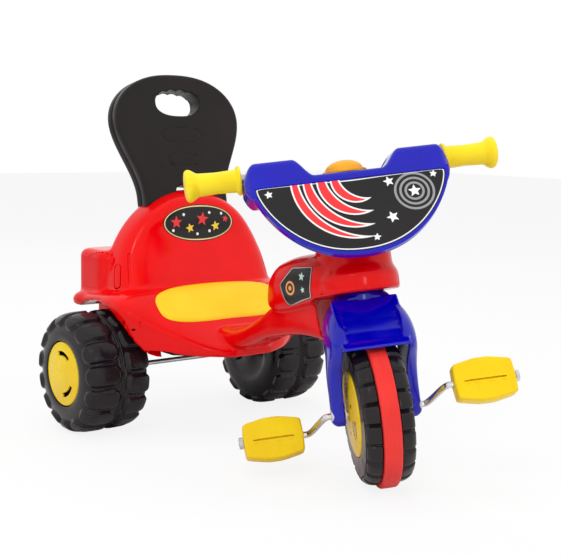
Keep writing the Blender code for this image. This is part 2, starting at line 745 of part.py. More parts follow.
def rear_wheel():
    edge = REAR_WHEEL_WIDTH / 2
    recess = REAR_CAP_DEPTH + GAP
    wheel = lugged_tread(REAR_WHEEL_WIDTH, REAR_WHEEL_RADIUS, REAR_LUG_HEIGHT, REAR_LUG_COUNT)
    cut(wheel, work(rod(REAR_CAP_RADIUS + GAP, edge - recess, edge + 0.01, 24), ALONG_X))
    outer_end = edge - recess - REAR_WHEEL_WALL
    inner_end = edge - REAR_WHEEL_WALL
    radius = REAR_WHEEL_RADIUS - REAR_LUG_HEIGHT - 0.002 - REAR_WHEEL_WALL
    sleeve_start = edge - REAR_SLEEVE_LENGTH
    cut(wheel, wheel_cavity(radius, edge, REAR_SLEEVE_RADIUS, sleeve_start, outer_end, inner_end))
    cut(wheel, work(rod(REAR_AXLE_RADIUS + GAP, -0.1, 0.1), ALONG_X))
    return wheel


def rear_cap():
    """The yellow cap with two curved slots, seated in the wheel's outer face."""
    rim = REAR_CAP_RADIUS
    profile = [
        (0, GAP + PUSH_NUT_WIDTH + 2 * GAP),
        (PUSH_NUT_RADIUS + 0.002, GAP + PUSH_NUT_WIDTH + 2 * GAP),
        (PUSH_NUT_RADIUS + 0.002, GAP),
        (rim, GAP),
        (rim, REAR_CAP_DEPTH - 0.002),
        (rim - 0.004, REAR_CAP_DEPTH),
        (rim * 0.5, REAR_CAP_DEPTH + 0.002),
        (0, REAR_CAP_DEPTH + 0.003),
    ]
    cap = work(turned(profile, 24), ALONG_X)
    for middle in (60, 240):
        inner = [(0.024, radians(middle + a)) for a in (-32, -16, 0, 16, 32)]
        outer = [(0.034, radians(middle + a)) for a in (32, 16, 0, -16, -32)]
        outline = [(r * cos(a), r * sin(a)) for r, a in inner + outer]
        cut(cap, work(slab(outline, -0.01, 0.02), ALONG_X))
    return cap


axle_line = frame_empty("rear_axle_line", toy, Matrix.Translation((0, 0, REAR_WHEEL_RADIUS)))
axle_rod = work(rod(REAR_AXLE_RADIUS, -AXLE_END, AXLE_END), ALONG_X)
part(axle_rod, "rear_axle", STEEL, axle_line)


def ring_part(inner, outer, start, end, steps=ROUND_STEPS):
    """A plain washer or sleeve about Z."""
    return turned([(inner, start), (outer, start), (outer, end), (inner, end)], steps, closed=True)


for side, name in ((-1, "right"), (1, "left")):
    face_out = ALONG_X if side > 0 else Matrix.Rotation(pi, 4, "Z") @ ALONG_X
    spin_out = Matrix.Identity(4) if side > 0 else Matrix.Rotation(pi, 4, "Z")
    centre = side * (REAR_TRACK_HALF - REAR_WHEEL_WIDTH / 2)
    hub = frame_empty(f"rear_hub_{name}", axle_line, Matrix.Translation((centre, 0, 0)))
    wheel = rear_wheel()
    wheel.data.transform(spin_out)
    part(wheel, f"rear_wheel_{name}", TYRE, hub)
    cap = rear_cap()
    seat = REAR_WHEEL_WIDTH / 2 - REAR_CAP_DEPTH - GAP
    cap.data.transform(spin_out @ Matrix.Translation((seat, 0, 0)))
    part(cap, f"rear_hub_cap_{name}", YELLOW, hub)
    inner_face = REAR_TRACK_HALF - REAR_WHEEL_WIDTH
    washer_start = HANGER_X + HANGER_THICKNESS / 2 + GAP
    washer = ring_part(REAR_AXLE_RADIUS + GAP, 0.009, washer_start, inner_face - GAP)
    part(work(washer, face_out), f"axle_spacer_{name}", WHITE, axle_line)
    nut_start = REAR_TRACK_HALF - REAR_CAP_DEPTH + GAP
    nut = ring_part(REAR_AXLE_RADIUS + GAP, PUSH_NUT_RADIUS, nut_start, nut_start + PUSH_NUT_WIDTH - GAP)
    part(work(nut, face_out), f"axle_push_nut_{name}", STEEL, axle_line)


# Front wheel: blown tyre, red tread band, two hub discs and the bent crank rod that drives it
def front_tyre():
    edge = TYRE_WIDTH / 2
    band = BAND_WIDTH / 2 + GAP
    seat = (BAND_RADIUS - BAND_DEPTH) * cos(pi / BAND_STEPS) - GAP
    rows = [
        (0, edge - 0.001, 0),
        (TYRE_EDGE_RADIUS, edge - 0.001, 0),
        (TYRE_EDGE_RADIUS + 0.007, edge - 0.007, 1),
        (TYRE_SHOULDER_RADIUS, band + 0.003, 1),
        (seat, band, 0),
    ]
    rows += [(radius, -height, grooved) for radius, height, grooved in rows[::-1]]
    shares = (0.0, 0.08, 0.20, 0.88)
    depth = (1, 1, 0, 0)
    bm = bmesh.new()
    lines = []
    for base, height, grooved in rows:
        if base == 0:
            lines.append([bm.verts.new((height, 0, 0))] * (4 * TYRE_BLOCK_COUNT))
            continue
        line = []
        shift = 0.5 if height < 0 else 0.0
        for k in range(4 * TYRE_BLOCK_COUNT):
            angle = 2 * pi * (k // 4 + shares[k % 4]) / TYRE_BLOCK_COUNT
            reach = base - TYRE_GROOVE_DEPTH * grooved * depth[k % 4]
            line.append(bm.verts.new((height, reach * sin(angle), -reach * cos(angle))))
        lines.append(line)
    for left, right in zip(lines, lines[1:]):
        for i in range(len(left)):
            j = (i + 1) % len(left)
            bm.faces.new(list(dict.fromkeys((left[i], left[j], right[j], right[i]))))
    tyre = work(bm)
    for low, high in ((edge - HUB_DISC_DEPTH, edge + 0.01), (-edge - 0.01, HUB_DISC_DEPTH - edge)):
        cut(tyre, work(rod(HUB_DISC_RADIUS + GAP, low, high, 24), ALONG_X))
    end = edge - HUB_DISC_DEPTH - TYRE_WALL
    cut(tyre, wheel_cavity(seat - TYRE_WALL, edge, 0.011, end - 0.010, end, end))
    cut(tyre, work(rod(CRANK_ROD_RADIUS + GAP, -0.1, 0.1), ALONG_X))
    return tyre


def tread_band():
    half = BAND_WIDTH / 2
    inner = BAND_RADIUS - BAND_DEPTH
    profile = [
        (inner, -half),
        (BAND_RADIUS - 0.003, -half),
        (BAND_RADIUS, -half + 0.0035),
        (BAND_RADIUS, half - 0.0035),
        (BAND_RADIUS - 0.003, half),
        (inner, half),
    ]
    return work(turned(profile, BAND_STEPS, closed=True), ALONG_X)


def hub_disc():
    """A yellow dished disc with its flat back against the tyre."""
    back = TYRE_WIDTH / 2 - HUB_DISC_DEPTH + GAP
    rim = back + HUB_DISC_DEPTH
    profile = [(CRANK_ROD_RADIUS + GAP, back), (HUB_DISC_RADIUS, back), (HUB_DISC_RADIUS, rim - 0.001)]
    for share in (0.80, 0.40):
        profile.append((HUB_DISC_RADIUS * share, rim + HUB_DISC_CROWN * (1 - share ** 2)))
    profile.append((CRANK_ROD_RADIUS + GAP, rim + HUB_DISC_CROWN))
    return work(turned(profile, 24, closed=True), ALONG_X)


def crank_rod():
    """One steel rod: pin, bend, axle, bend and pin, with its two pins on opposite sides."""
    pin_end = PEDAL_INNER_END + PEDAL_LENGTH + PEDAL_CAP_LENGTH
    half_path = [Vector((0, 0, 0)), Vector((CRANK_BEND_START, 0, 0))]
    for t in np.linspace(0, 1, 7)[1:]:
        x = CRANK_BEND_START + (CRANK_BEND_END - CRANK_BEND_START) * t
        half_path.append(Vector((x, 0, CRANK_THROW * (0.5 - 0.5 * cos(pi * t)))))
    half_path.append(Vector((pin_end, 0, CRANK_THROW)))
    path = [Vector((-p.x, 0, -p.z)) for p in half_path[:0:-1]] + half_path
    sides = 10
    rings = []
    for i, point in enumerate(path):
        ahead = path[min(i + 1, len(path) - 1)] - path[max(i - 1, 0)]
        ahead.normalize()
        across = Vector((0, 1, 0))
        up = ahead.cross(across)
        turn = [2 * pi * k / sides for k in range(sides)]
        rings.append([point + CRANK_ROD_RADIUS * (cos(a) * across + sin(a) * up) for a in turn])
    return work(loft(rings))


part(front_tyre(), "front_tyre", TYRE, front_axle)
part(tread_band(), "tread_band", BAND, front_axle)
part(crank_rod(), "crank_axle", STEEL, front_axle)
for side, name in ((-1, "right"), (1, "left")):
    disc = hub_disc()
    if side < 0:
        disc.data.transform(Matrix.Rotation(pi, 4, "Z"))
    part(disc, f"front_hub_disc_{name}", YELLOW, front_axle)


# Pedals on the two crank pins
def pedal():
    """A hexagonal block with a slot along each face; X runs along its pin, away from the wheel."""
    half = PEDAL_LENGTH / 2
    end, middle = PEDAL_END_WIDTH / 2, PEDAL_MIDDLE_WIDTH / 2
    corner = half - 0.003
    outline = [(half, 0), (corner, end), (0, middle), (-corner, end)]
    outline += [(-half, 0), (-corner, -end), (0, -middle), (corner, -end)]
    thick = PEDAL_THICKNESS / 2
    rings = []
    for z, shrink in ((-thick, 0.93), (-thick + 0.003, 1.0), (thick - 0.003, 1.0), (thick, 0.93)):
        rings.append([(x * (1 - (1 - shrink) * 0.7), y * shrink, z) for x, y in outline])
    block = work(loft(rings))
    bore = CRANK_ROD_RADIUS + PEDAL_PLAY
    cut(block, work(rod(bore, -0.1, 0.1), ALONG_X))
    depth = thick - bore - 0.002
    for face in (-1, 1):
        low, high = sorted((face * (thick - depth), face * (thick + 0.01)))
        cut(block, work(box((-0.029, -0.0025, low), (0.029, 0.0005, high))))
    return block


for side, name in ((-1, "right"), (1, "left")):
    pin = Matrix.Translation((side * (PEDAL_INNER_END + PEDAL_LENGTH / 2), 0, side * CRANK_THROW))
    level = Matrix.Rotation(PEDAL_TILT - CRANK_TURN, 4, "X")
    spindle = frame_empty(f"pedal_pin_{name}", front_axle, pin @ level)
    part(pedal(), f"pedal_{name}", YELLOW, spindle)
    cap_start = PEDAL_INNER_END + PEDAL_LENGTH + GAP * 2
    cap = ring_part(CRANK_ROD_RADIUS + GAP, 0.008, cap_start, cap_start + PEDAL_CAP_LENGTH - 0.001, 16)
    facing = Matrix.Identity(4) if side > 0 else Matrix.Rotation(pi, 4, "Z")
    at_pin = Matrix.Translation((0, 0, side * CRANK_THROW)) @ facing @ ALONG_X
    part(work(cap, at_pin), f"pedal_push_nut_{name}", STEEL, front_axle)


# Fork: two legs, crown and mudguard in one blue moulding
def fork():
    stations = (
        (-FORK_FOOT, FORK_HALF_WIDTH - 0.006, 0.008, -WHEEL_TRAIL),
        (-FORK_FOOT + 0.004, FORK_HALF_WIDTH - 0.001, 0.012, -WHEEL_TRAIL),
        (0.0, FORK_HALF_WIDTH, 0.015, -WHEEL_TRAIL),
        (0.040, FORK_HALF_WIDTH, 0.0165, -WHEEL_TRAIL + 0.001),
        (0.080, FORK_HALF_WIDTH - 0.001, 0.024, -WHEEL_TRAIL + 0.005),
        (0.108, FORK_HALF_WIDTH - 0.002, 0.032, -0.004),
        (0.124, FORK_HALF_WIDTH - 0.004, 0.035, -0.003),
        (0.137, FORK_HALF_WIDTH - 0.012, 0.035, -0.002),
        (0.150, FORK_CROWN_HALF_WIDTH + 0.005, 0.033, -0.001),
        (FORK_CROWN_TOP, FORK_CROWN_HALF_WIDTH, 0.029, -0.001),
    )
    rings = []
    for z, side, depth, back in stations:
        rings.append([(x, y + back, z) for x, y in superellipse(side, depth, 4.5, 24)])
    body = work(loft(rings))
    centre = Matrix.Translation((0, -WHEEL_TRAIL, 0))
    cut(body, work(rod(MUDGUARD_RADIUS, -FORK_SLOT_HALF, FORK_SLOT_HALF, 32), centre @ ALONG_X))
    guard = []
    for a in np.linspace(MUDGUARD_FRONT_ANGLE, MUDGUARD_REAR_ANGLE, 11):
        ring = []
        for x, r in ((-1, 0), (1, 0), (1, 1), (-1, 1)):
            reach = MUDGUARD_RADIUS + MUDGUARD_WALL * r
            half = FORK_SLOT_HALF + 0.004
            ring.append((x * half, -WHEEL_TRAIL - reach * cos(a), reach * sin(a)))
        guard.append(ring)
    join(body, work(loft(guard)))
    cut(body, work(rod(STEM_RADIUS + GAP, STEM_BOTTOM - GAP, FORK_CROWN_TOP + 0.01)))
    cut(body, work(rod(FORK_BUSH_RADIUS + GAP, -0.1, 0.1), centre @ ALONG_X))
    cut(body, work(rod(PIN_RADIUS + GAP, -0.1, 0.1, 12), Matrix.Translation((0, 0, PIN_HEIGHT)) @ ALONG_X))
    return body


part(fork(), "fork", BLUE, steering)
fork_pin = work(rod(PIN_RADIUS, -PIN_HALF_LENGTH, PIN_HALF_LENGTH, 12), ALONG_X)
fork_pin.data.transform(Matrix.Translation((0, 0, PIN_HEIGHT)))
part(fork_pin, "fork_pin", STEEL, steering)

for side, name in ((-1, "right"), (1, "left")):
    profile = [
        (CRANK_ROD_RADIUS + GAP, FORK_SLOT_HALF - 0.002),
        (FORK_BUSH_FLANGE, FORK_SLOT_HALF - 0.002),
        (FORK_BUSH_FLANGE, FORK_SLOT_HALF - GAP),
        (FORK_BUSH_RADIUS, FORK_SLOT_HALF - GAP),
        (FORK_BUSH_RADIUS, FORK_HALF_WIDTH + 0.0005),
        (CRANK_ROD_RADIUS + GAP, FORK_HALF_WIDTH + 0.0005),
    ]
    facing = Matrix.Identity(4) if side > 0 else Matrix.Rotation(pi, 4, "Z")
    bush = work(turned(profile, ROUND_STEPS, closed=True), facing @ ALONG_X)
    bush.data.transform(Matrix.Translation((0, -WHEEL_TRAIL, 0)))
    part(bush, f"fork_bush_{name}", WHITE, steering)


# Steering stem, its bushes in the head and the collar that keeps it from dropping out
def head_bush(flange_start, flange_end, sleeve_end):
    """A nylon bush: a flange outside the head and a sleeve inside its tube."""
    inner = STEM_RADIUS + GAP
    flange_edge = flange_end if sleeve_end > flange_end else flange_start
    flange_face = flange_start if sleeve_end > flange_end else flange_end
    profile = [
        (inner, flange_face),
        (BUSH_FLANGE_RADIUS, flange_face),
        (BUSH_FLANGE_RADIUS, flange_edge),
        (BUSH_RADIUS, flange_edge),
        (BUSH_RADIUS, sleeve_end),
        (inner, sleeve_end),
    ]
    return work(turned(profile, ROUND_STEPS, closed=True))


bushes = frame_empty("head_bushes", toy, STRAIGHT_AHEAD)
lower = head_bush(FORK_CROWN_TOP + GAP, HEAD_BOTTOM - GAP, HEAD_BOTTOM + BUSH_LENGTH)
part(lower, "head_bush_lower", WHITE, bushes)
upper = head_bush(HEAD_TOP + GAP, HEAD_FLANGE_TOP, HEAD_TOP - BUSH_LENGTH)
part(upper, "head_bush_upper", WHITE, bushes)

stem = work(rod(STEM_RADIUS, STEM_BOTTOM, STEM_TOP))
cut(stem, work(rod(PIN_RADIUS + GAP, -0.1, 0.1, 12), Matrix.Translation((0, 0, PIN_HEIGHT)) @ ALONG_X))
bolt_line = Matrix.Translation((0, 0, BOLT_HEIGHT)) @ ALONG_Y
cut(stem, work(rod(BOLT_RADIUS + GAP, -0.1, 0.1, 12), bolt_line))
part(stem, "steering_stem", STEEL, steering)

collar_start = HEAD_FLANGE_TOP + GAP
collar = ring_part(STEM_RADIUS + GAP, STEM_COLLAR_RADIUS, collar_start, collar_start + STEM_COLLAR_HEIGHT)
part(work(collar), "stem_collar", STEEL, steering)

# Clamp block that ties the dipped handlebar to the stem, with its bolt and nut
clamp_x, clamp_y, clamp_z = (size / 2 for size in CLAMP_SIZE)
clamp_middle = CLAMP_CENTRE - CLAMP_DROP
clamp = work(
    box((-clamp_x, -clamp_y, clamp_middle - clamp_z), (clamp_x, clamp_y, clamp_middle + clamp_z))
)
cut(clamp, work(rod(STEM_RADIUS + GAP, 0.2, STEM_TOP + GAP)))
bar_line = Matrix.Translation((0, BAR_BACK, CLAMP_CENTRE)) @ ALONG_X
cut(clamp, work(rod(BAR_RADIUS + GAP, -0.1, 0.1), bar_line))
cut(clamp, work(rod(BOLT_RADIUS + GAP, -0.1, 0.1, 12), bolt_line))
part(clamp, "handlebar_clamp", BLACK, steering)

bolt = screw(2 * clamp_y + 0.005, BOLT_RADIUS, 0.0055, 0.003)
bolt.data.transform(Matrix.Translation((0, -clamp_y - GAP, BOLT_HEIGHT)) @ ALONG_Y)
part(bolt, "clamp_bolt", STEEL, steering)
nut_bore = (BOLT_RADIUS + GAP) / cos(pi / 6)
nut = ring_part(nut_bore, 0.006, clamp_y + GAP, clamp_y + 0.004, 6)
part(work(nut, bolt_line), "clamp_nut", STEEL, steering)


def handlebar():
    """A steel tube with a dip in the middle, where the clamp and the horn are."""
    end = GRIP_OUTER_END - 0.012
    half_path = [(0.0, -BAR_DIP), (BAR_DIP_HALF, -BAR_DIP)]
    for t in np.linspace(0, 1, 6)[1:]:
        x = BAR_DIP_HALF + (BAR_RISE_HALF - BAR_DIP_HALF) * t
        half_path.append((x, -BAR_DIP * (0.5 + 0.5 * cos(pi * t))))
    half_path.append((end, 0.0))
    path = [(-x, z) for x, z in half_path[:0:-1]] + half_path
    rings = []
    sides = 12
    for i, (x, z) in enumerate(path):
        before, after = path[max(i - 1, 0)], path[min(i + 1, len(path) - 1)]
        ahead = Vector((after[0] - before[0], 0, after[1] - before[1])).normalized()
        up = ahead.cross(Vector((0, 1, 0)))
        ring = []
        for k in range(sides):
            a = 2 * pi * k / sides
            offset = BAR_RADIUS * (cos(a) * Vector((0, 1, 0)) + sin(a) * up)
            ring.append(Vector((x, BAR_BACK, BAR_HEIGHT + z)) + offset)
        rings.append(ring)
    return work(loft(rings))


part(handlebar(), "handlebar_tube", STEEL, steering)


def grip():
    """A yellow grip with a small inner flange and a round outer one, blind at its end."""
    start, end = GRIP_INNER_END, GRIP_OUTER_END
    bore = BAR_RADIUS + GAP
    bore_end = end - 0.012 + GAP
    profile = [
        (GRIP_INNER_FLANGE, start),
        (GRIP_INNER_FLANGE, start + 0.004),
        (GRIP_RADIUS, start + 0.006),
        (GRIP_RADIUS - 0.0008, start + 0.034),
        (GRIP_RADIUS + 0.0005, end - 0.018),
        (GRIP_OUTER_FLANGE - 0.002, end - 0.012),
        (GRIP_OUTER_FLANGE, end - 0.007),
        (GRIP_OUTER_FLANGE - 0.003, end - 0.002),
        (0.010, end),
        (0, end),
    ]
    solid = work(turned([(0, start)] + profile, 22), ALONG_X)
    cut(solid, work(rod(bore, start - 0.01, bore_end), ALONG_X))
    return solid


for side, name in ((-1, "right"), (1, "left")):
    handle = grip()
    if side < 0:
        handle.data.transform(Matrix.Rotation(pi, 4, "Z"))
    handle.data.transform(Matrix.Translation((0, BAR_BACK, BAR_HEIGHT)))
    part(handle, f"grip_{name}", YELLOW, steering)

# Front panel and its housing, in two halves that close round the handlebar
PANEL_PLACE = Matrix.Translation((0, -PANEL_FORWARD, BAR_HEIGHT)) @ Matrix.Rotation(-PANEL_LEAN, 4, "X")


def housing_top(x):
    """Height of the housing's top edge up the leaning face: wings beside a low middle."""
    reach = abs(x)
    t = np.clip((reach - 0.046) / 0.028, 0, 1)
    wing = HOUSING_VALLEY_TOP + (HOUSING_WING_TOP - HOUSING_VALLEY_TOP) * (3 * t ** 2 - 2 * t ** 3)
    fall = np.clip((reach - 0.124) / (HOUSING_HALF_WIDTH - 0.124), 0, 1)
    return wing - 0.022 * fall ** 2


def housing_solid(shrink=0.0):
    """The handlebar housing as a row of upright sections along X."""
    limit = HOUSING_HALF_WIDTH - shrink
    stations = [0, 0.044, 0.053, 0.060, 0.067, 0.076, 0.122, 0.130, 0.136, 0.140]
    places = [min(x, limit) for x in stations]
    places = [-x for x in places[:0:-1]] + places
    lean = sin(PANEL_LEAN) / cos(PANEL_LEAN)
    rings = []
    for x in places:
        rise = housing_top(x) * cos(PANEL_LEAN)
        top = BAR_HEIGHT + rise - shrink
        floor = HOUSING_FLOOR + shrink
        end = np.clip((abs(x) - 0.128) / 0.012, 0, 1) ** 2
        floor += 0.016 * end
        back = HOUSING_BACK - shrink - 0.006 * end
        front_at_top = -PANEL_FORWARD + (top - BAR_HEIGHT) * lean + shrink + 0.012 * end
        front_at_floor = -PANEL_FORWARD + (floor - BAR_HEIGHT) * lean + shrink + 0.012 * end
        rings.append(
            [
                (x, front_at_floor, floor),
                (x, front_at_top - 0.004 * lean, top - 0.004),
                (x, front_at_top + HOUSING_EDGE, top),
                (x, back - HOUSING_EDGE, top),
                (x, back, top - HOUSING_EDGE),
                (x, back, floor + 0.006),
                (x, back - 0.006, floor),
            ]
        )
    return work(loft(rings))


def half_moon(inset=0.0, count=24):
    """The face plate's outline: straight above, one full curve below."""
    half = PANEL_HALF_WIDTH - inset
    top, bottom = PANEL_TOP - inset, PANEL_BOTTOM + inset
    points = []
    for x in half * np.cos(np.linspace(0, pi, count)):
        fall = (1 - (abs(x) / half) ** 2.2) ** 0.7 if abs(x) < half else 0.0
        points.append((x, top - 0.004 + (bottom - top + 0.004) * fall))
    return [(half, top)] + points + [(-half, top)]


def half_space(front):
    """The room in front of, or behind, the plane where the two housing halves meet."""
    if front:
        return work(box((-0.3, -0.3, 0.1), (0.3, BAR_BACK - GAP / 2, 0.5)))
    return work(box((-0.3, BAR_BACK + GAP / 2, 0.1), (0.3, 0.3, 0.5)))


def housing_posts():
    """Screw posts that span the housing from front wall to back wall."""
    posts = None
    for x, z in PANEL_SCREW_PLACES:
        post = panel_hole(x, z, PANEL_BOSS_RADIUS)
        posts = post if posts is None else join(posts, post)
    return combine(posts, housing_solid(HOUSING_WALL / 2), "INTERSECT")


def panel_hole(x, z, radius, front=-0.1):
    """A round bar along Y through the housing at a screw."""
    return work(rod(radius, front, 0.1, 10), Matrix.Translation((x, 0, z)) @ ALONG_Y)


def housing_shell():
    shell = cut(housing_solid(), housing_solid(HOUSING_WALL))
    join(shell, housing_posts())
    end_bore = Matrix.Translation((0, BAR_BACK, BAR_HEIGHT)) @ ALONG_X
    cut(shell, work(rod(BAR_RADIUS + GAP, -0.2, 0.2), end_bore))
    return cut(shell, work(rod(HOUSING_STEM_HOLE, 0.1, HOUSING_FLOOR + 0.010)))


def front_panel():
    shell = combine(housing_shell(), half_space(True), "INTERSECT")
    plate = work(upright_slab(half_moon(), -PANEL_PROUD, PANEL_RIM_DEPTH))
    cut(plate, work(upright_slab(half_moon(0.0035), 0.0025, PANEL_RIM_DEPTH + 0.01)))
    cut(plate, work(upright_slab(half_moon(0.005), -0.01, -PANEL_PROUD + 0.0008)))
    plate.data.transform(PANEL_PLACE)
    cut(plate, housing_solid(HOUSING_WALL / 2))
    join(shell, plate)
    for x, z in PANEL_SCREW_PLACES:
        cut(shell, panel_hole(x, z, PAN_SCREW_RADIUS + GAP, BAR_BACK - PANEL_SCREW_REACH))
    return shell


def rear_cover():
    shell = combine(housing_shell(), half_space(False), "INTERSECT")
    for x, z in PANEL_SCREW_PLACES:
        cut(shell, panel_hole(x, z, PAN_SCREW_RADIUS + GAP))
    return shell


part(front_panel(), "front_panel", BLUE, steering)
part(rear_cover(), "panel_rear_cover", BLUE, steering)
for number, (x, z) in enumerate(PANEL_SCREW_PLACES, 1):
    fastener = screw(HOUSING_BACK - BAR_BACK + PANEL_SCREW_REACH - 0.002, PAN_SCREW_RADIUS, PAN_SCREW_HEAD)
    place = Matrix.Translation((x, HOUSING_BACK + GAP, z)) @ Matrix.Rotation(pi / 2, 4, "X")
    fastener.data.transform(place)
    part(fastener, f"panel_screw_{number}", STEEL, steering)

# Horn: a sprung dome in a ring on the housing's low middle
horn_line = Matrix.Translation((0, HORN_BACK, 0))
base_top = HORN_SEAT + GAP + HORN_BASE_HEIGHT
base_profile = [
    (HORN_RADIUS - 0.004, HORN_SEAT + GAP),
    (HORN_RADIUS, HORN_SEAT + GAP),
    (HORN_RADIUS, base_top - 0.001),
    (HORN_RADIUS - 0.001, base_top),
    (HORN_RADIUS - 0.004, base_top),
]
part(work(turned(base_profile, 22, closed=True), horn_line), "horn_ring", ORANGE, steering)
horn = frame_empty("horn_slide", steering, horn_line)
button_edge = HORN_RADIUS - 0.004 - 2 * GAP
button_foot = HORN_SEAT + GAP + HORN_TRAVEL + 0.0002
dome_top = HORN_SEAT + HORN_DOME_HEIGHT
button_profile = [(0, button_foot), (button_edge, button_foot)]
for a in np.linspace(0, pi / 2, 6)[:-1]:
    button_profile.append((button_edge * cos(a), base_top + (dome_top - base_top) * sin(a)))
button_profile.append((0, dome_top))
part(work(turned(button_profile, 22)), "horn_button", ORANGE, horn)

# The origin is put on the floor under the middle of the whole toy
bpy.context.view_layer.update()
corners = []
for piece in bpy.data.objects:
    if piece.type == "MESH":
        corners += [piece.matrix_world @ vertex.co for vertex in piece.data.vertices]
xs, ys, zs = ([corner[i] for corner in corners] for i in range(3))
toy.location = (-(min(xs) + max(xs)) / 2, -(min(ys) + max(ys)) / 2, -min(zs))
bpy.context.view_layer.update()
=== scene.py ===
"""A child's pedal tricycle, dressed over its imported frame. Metres, +Z up, -Y is the direction of travel."""
import json
from math import cos, pi, radians, sin, sqrt

import bmesh
import bpy
import numpy as np
from mathutils import Matrix, Vector


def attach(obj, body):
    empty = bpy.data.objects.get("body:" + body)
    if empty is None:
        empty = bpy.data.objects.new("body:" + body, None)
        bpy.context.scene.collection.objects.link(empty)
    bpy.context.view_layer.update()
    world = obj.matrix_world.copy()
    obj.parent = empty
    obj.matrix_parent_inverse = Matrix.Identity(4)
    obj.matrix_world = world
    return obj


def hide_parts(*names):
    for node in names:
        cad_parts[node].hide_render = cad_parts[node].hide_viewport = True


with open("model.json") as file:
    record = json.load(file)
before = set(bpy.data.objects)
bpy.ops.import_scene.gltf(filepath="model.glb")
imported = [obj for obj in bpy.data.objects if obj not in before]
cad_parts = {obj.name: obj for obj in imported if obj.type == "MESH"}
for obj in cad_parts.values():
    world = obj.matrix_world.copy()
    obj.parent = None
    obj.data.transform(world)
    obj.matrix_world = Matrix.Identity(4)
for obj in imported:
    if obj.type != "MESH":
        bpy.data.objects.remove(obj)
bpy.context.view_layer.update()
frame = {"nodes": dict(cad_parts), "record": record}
scene = bpy.context.scene

# Camera, room and light
# The camera was fitted to the photograph's wheels, grips and axle in the body's own frame, whose
# origin is on the floor under the rear axle.
WHEEL_HEIGHT = 0.095
CAMERA_LENS = 71.89
CAMERA_SPOT = (-1.02795, -1.548, 0.47913)
CAMERA_YAW, CAMERA_PITCH, CAMERA_ROLL = 38.329, 7.585, 1.174


def moved(*offset):
    """A shift by X, Y and Z."""
    return Matrix.Translation(offset)


def tilted(degrees, axis="X"):
    return Matrix.Rotation(radians(degrees), 4, axis)


joints = {joint["name"]: joint for joint in frame["record"]["behaviour"]["joints"]}
rear_axle = joints["rear_wheel_right_spin"]["pos_m"]
BODY = moved(0, rear_axle[1], rear_axle[2] - WHEEL_HEIGHT)

camera = bpy.data.objects.new("camera", bpy.data.cameras.new("camera"))
scene.collection.objects.link(camera)
camera.data.sensor_fit = "HORIZONTAL"
camera.data.sensor_width = 36.0
camera.data.lens = CAMERA_LENS
camera.matrix_world = (
    BODY
    @ moved(*CAMERA_SPOT)
    @ tilted(-CAMERA_YAW, "Z")
    @ tilted(90 - CAMERA_PITCH)
    @ tilted(CAMERA_ROLL, "Z")
)
scene.camera = camera
scene.view_settings.view_transform = "Standard"


class Nodes:
    """Adds and links the nodes of one tree in a few words."""

    def __init__(self, tree):
        self.tree = tree

    def add(self, kind, inputs=(), **settings):
        node = self.tree.nodes.new(kind)
        for key, value in settings.items():
            setattr(node, key, value)
        for key, value in dict(inputs).items():
            self.link(value, node.inputs[key])
        return node

    def link(self, value, socket):
        if isinstance(value, bpy.types.NodeSocket):
            self.tree.links.new(value, socket)
        else:
            socket.default_value = value

    def math(self, operation, *values, clamp=False):
        node = self.add("ShaderNodeMath", dict(enumerate(values)), operation=operation, use_clamp=clamp)
        return node.outputs[0]

    def mix(self, share, low, high):
        """Mixes two colours."""
        node = self.add("ShaderNodeMix", data_type="RGBA")
        for key, value in ((0, share), (6, low), (7, high)):
            self.link(value, node.inputs[key])
        return node.outputs[2]

    def ramp(self, value, low, high, to_low=0.0, to_high=1.0):
        """Maps a value's range to another one, smoothly, without leaving it."""
        inputs = {0: value, 1: low, 2: high, 3: to_low, 4: to_high}
        return self.add("ShaderNodeMapRange", inputs, interpolation_type="SMOOTHSTEP").outputs[0]

    def place(self):
        return self.add("ShaderNodeTexCoord").outputs["Object"]

    def noise(self, place, scale, detail=2.0):
        inputs = {"Vector": place, "Scale": scale, "Detail": detail}
        return self.add("ShaderNodeTexNoise", inputs).outputs[0]


def new_material(name):
    material = bpy.data.materials.new(name)
    material.use_nodes = True
    material.node_tree.nodes.clear()
    nodes = Nodes(material.node_tree)
    return material, nodes, nodes.add("ShaderNodeOutputMaterial").inputs[0]


room = bpy.data.worlds.new("room")
scene.world = room
room.use_nodes = True
room.node_tree.nodes.clear()
nodes = Nodes(room.node_tree)
path = nodes.add("ShaderNodeLightPath").outputs
seen = nodes.math("MAXIMUM", path["Is Camera Ray"], path["Is Transmission Ray"])
seen = nodes.math("MAXIMUM", seen, path["Is Glossy Ray"])
strength = nodes.math("MULTIPLY_ADD", seen, 0.42, 0.58)
sky = nodes.add("ShaderNodeBackground", {0: (1, 1, 1, 1), 1: strength})
nodes.link(sky.outputs[0], nodes.add("ShaderNodeOutputWorld").inputs[0])

paper, nodes, output = new_material("paper_floor")
path = nodes.add("ShaderNodeLightPath").outputs
place = nodes.place()
fibre = nodes.noise(place, 40.0)
tone = nodes.mix(fibre, (0.84, 0.84, 0.84, 1), (0.88, 0.88, 0.88, 1))
matt = nodes.add("ShaderNodeBsdfDiffuse", {0: tone})
glow = nodes.add("ShaderNodeEmission", {0: (1, 1, 1, 1), 1: 1.0})
lit = nodes.add("ShaderNodeMixShader", {0: nodes.math("MULTIPLY", path["Is Camera Ray"], 0.86)})
nodes.link(matt.outputs[0], lit.inputs[1])
nodes.link(glow.outputs[0], lit.inputs[2])
nodes.link(lit.outputs[0], output)
sheet = bpy.data.meshes.new("floor")
sheet.from_pydata([(-9, -9, 0), (9, -9, 0), (9, 9, 0), (-9, 9, 0)], [], [(0, 1, 2, 3)])
sheet.materials.append(paper)
floor = bpy.data.objects.new("floor", sheet)
scene.collection.objects.link(floor)

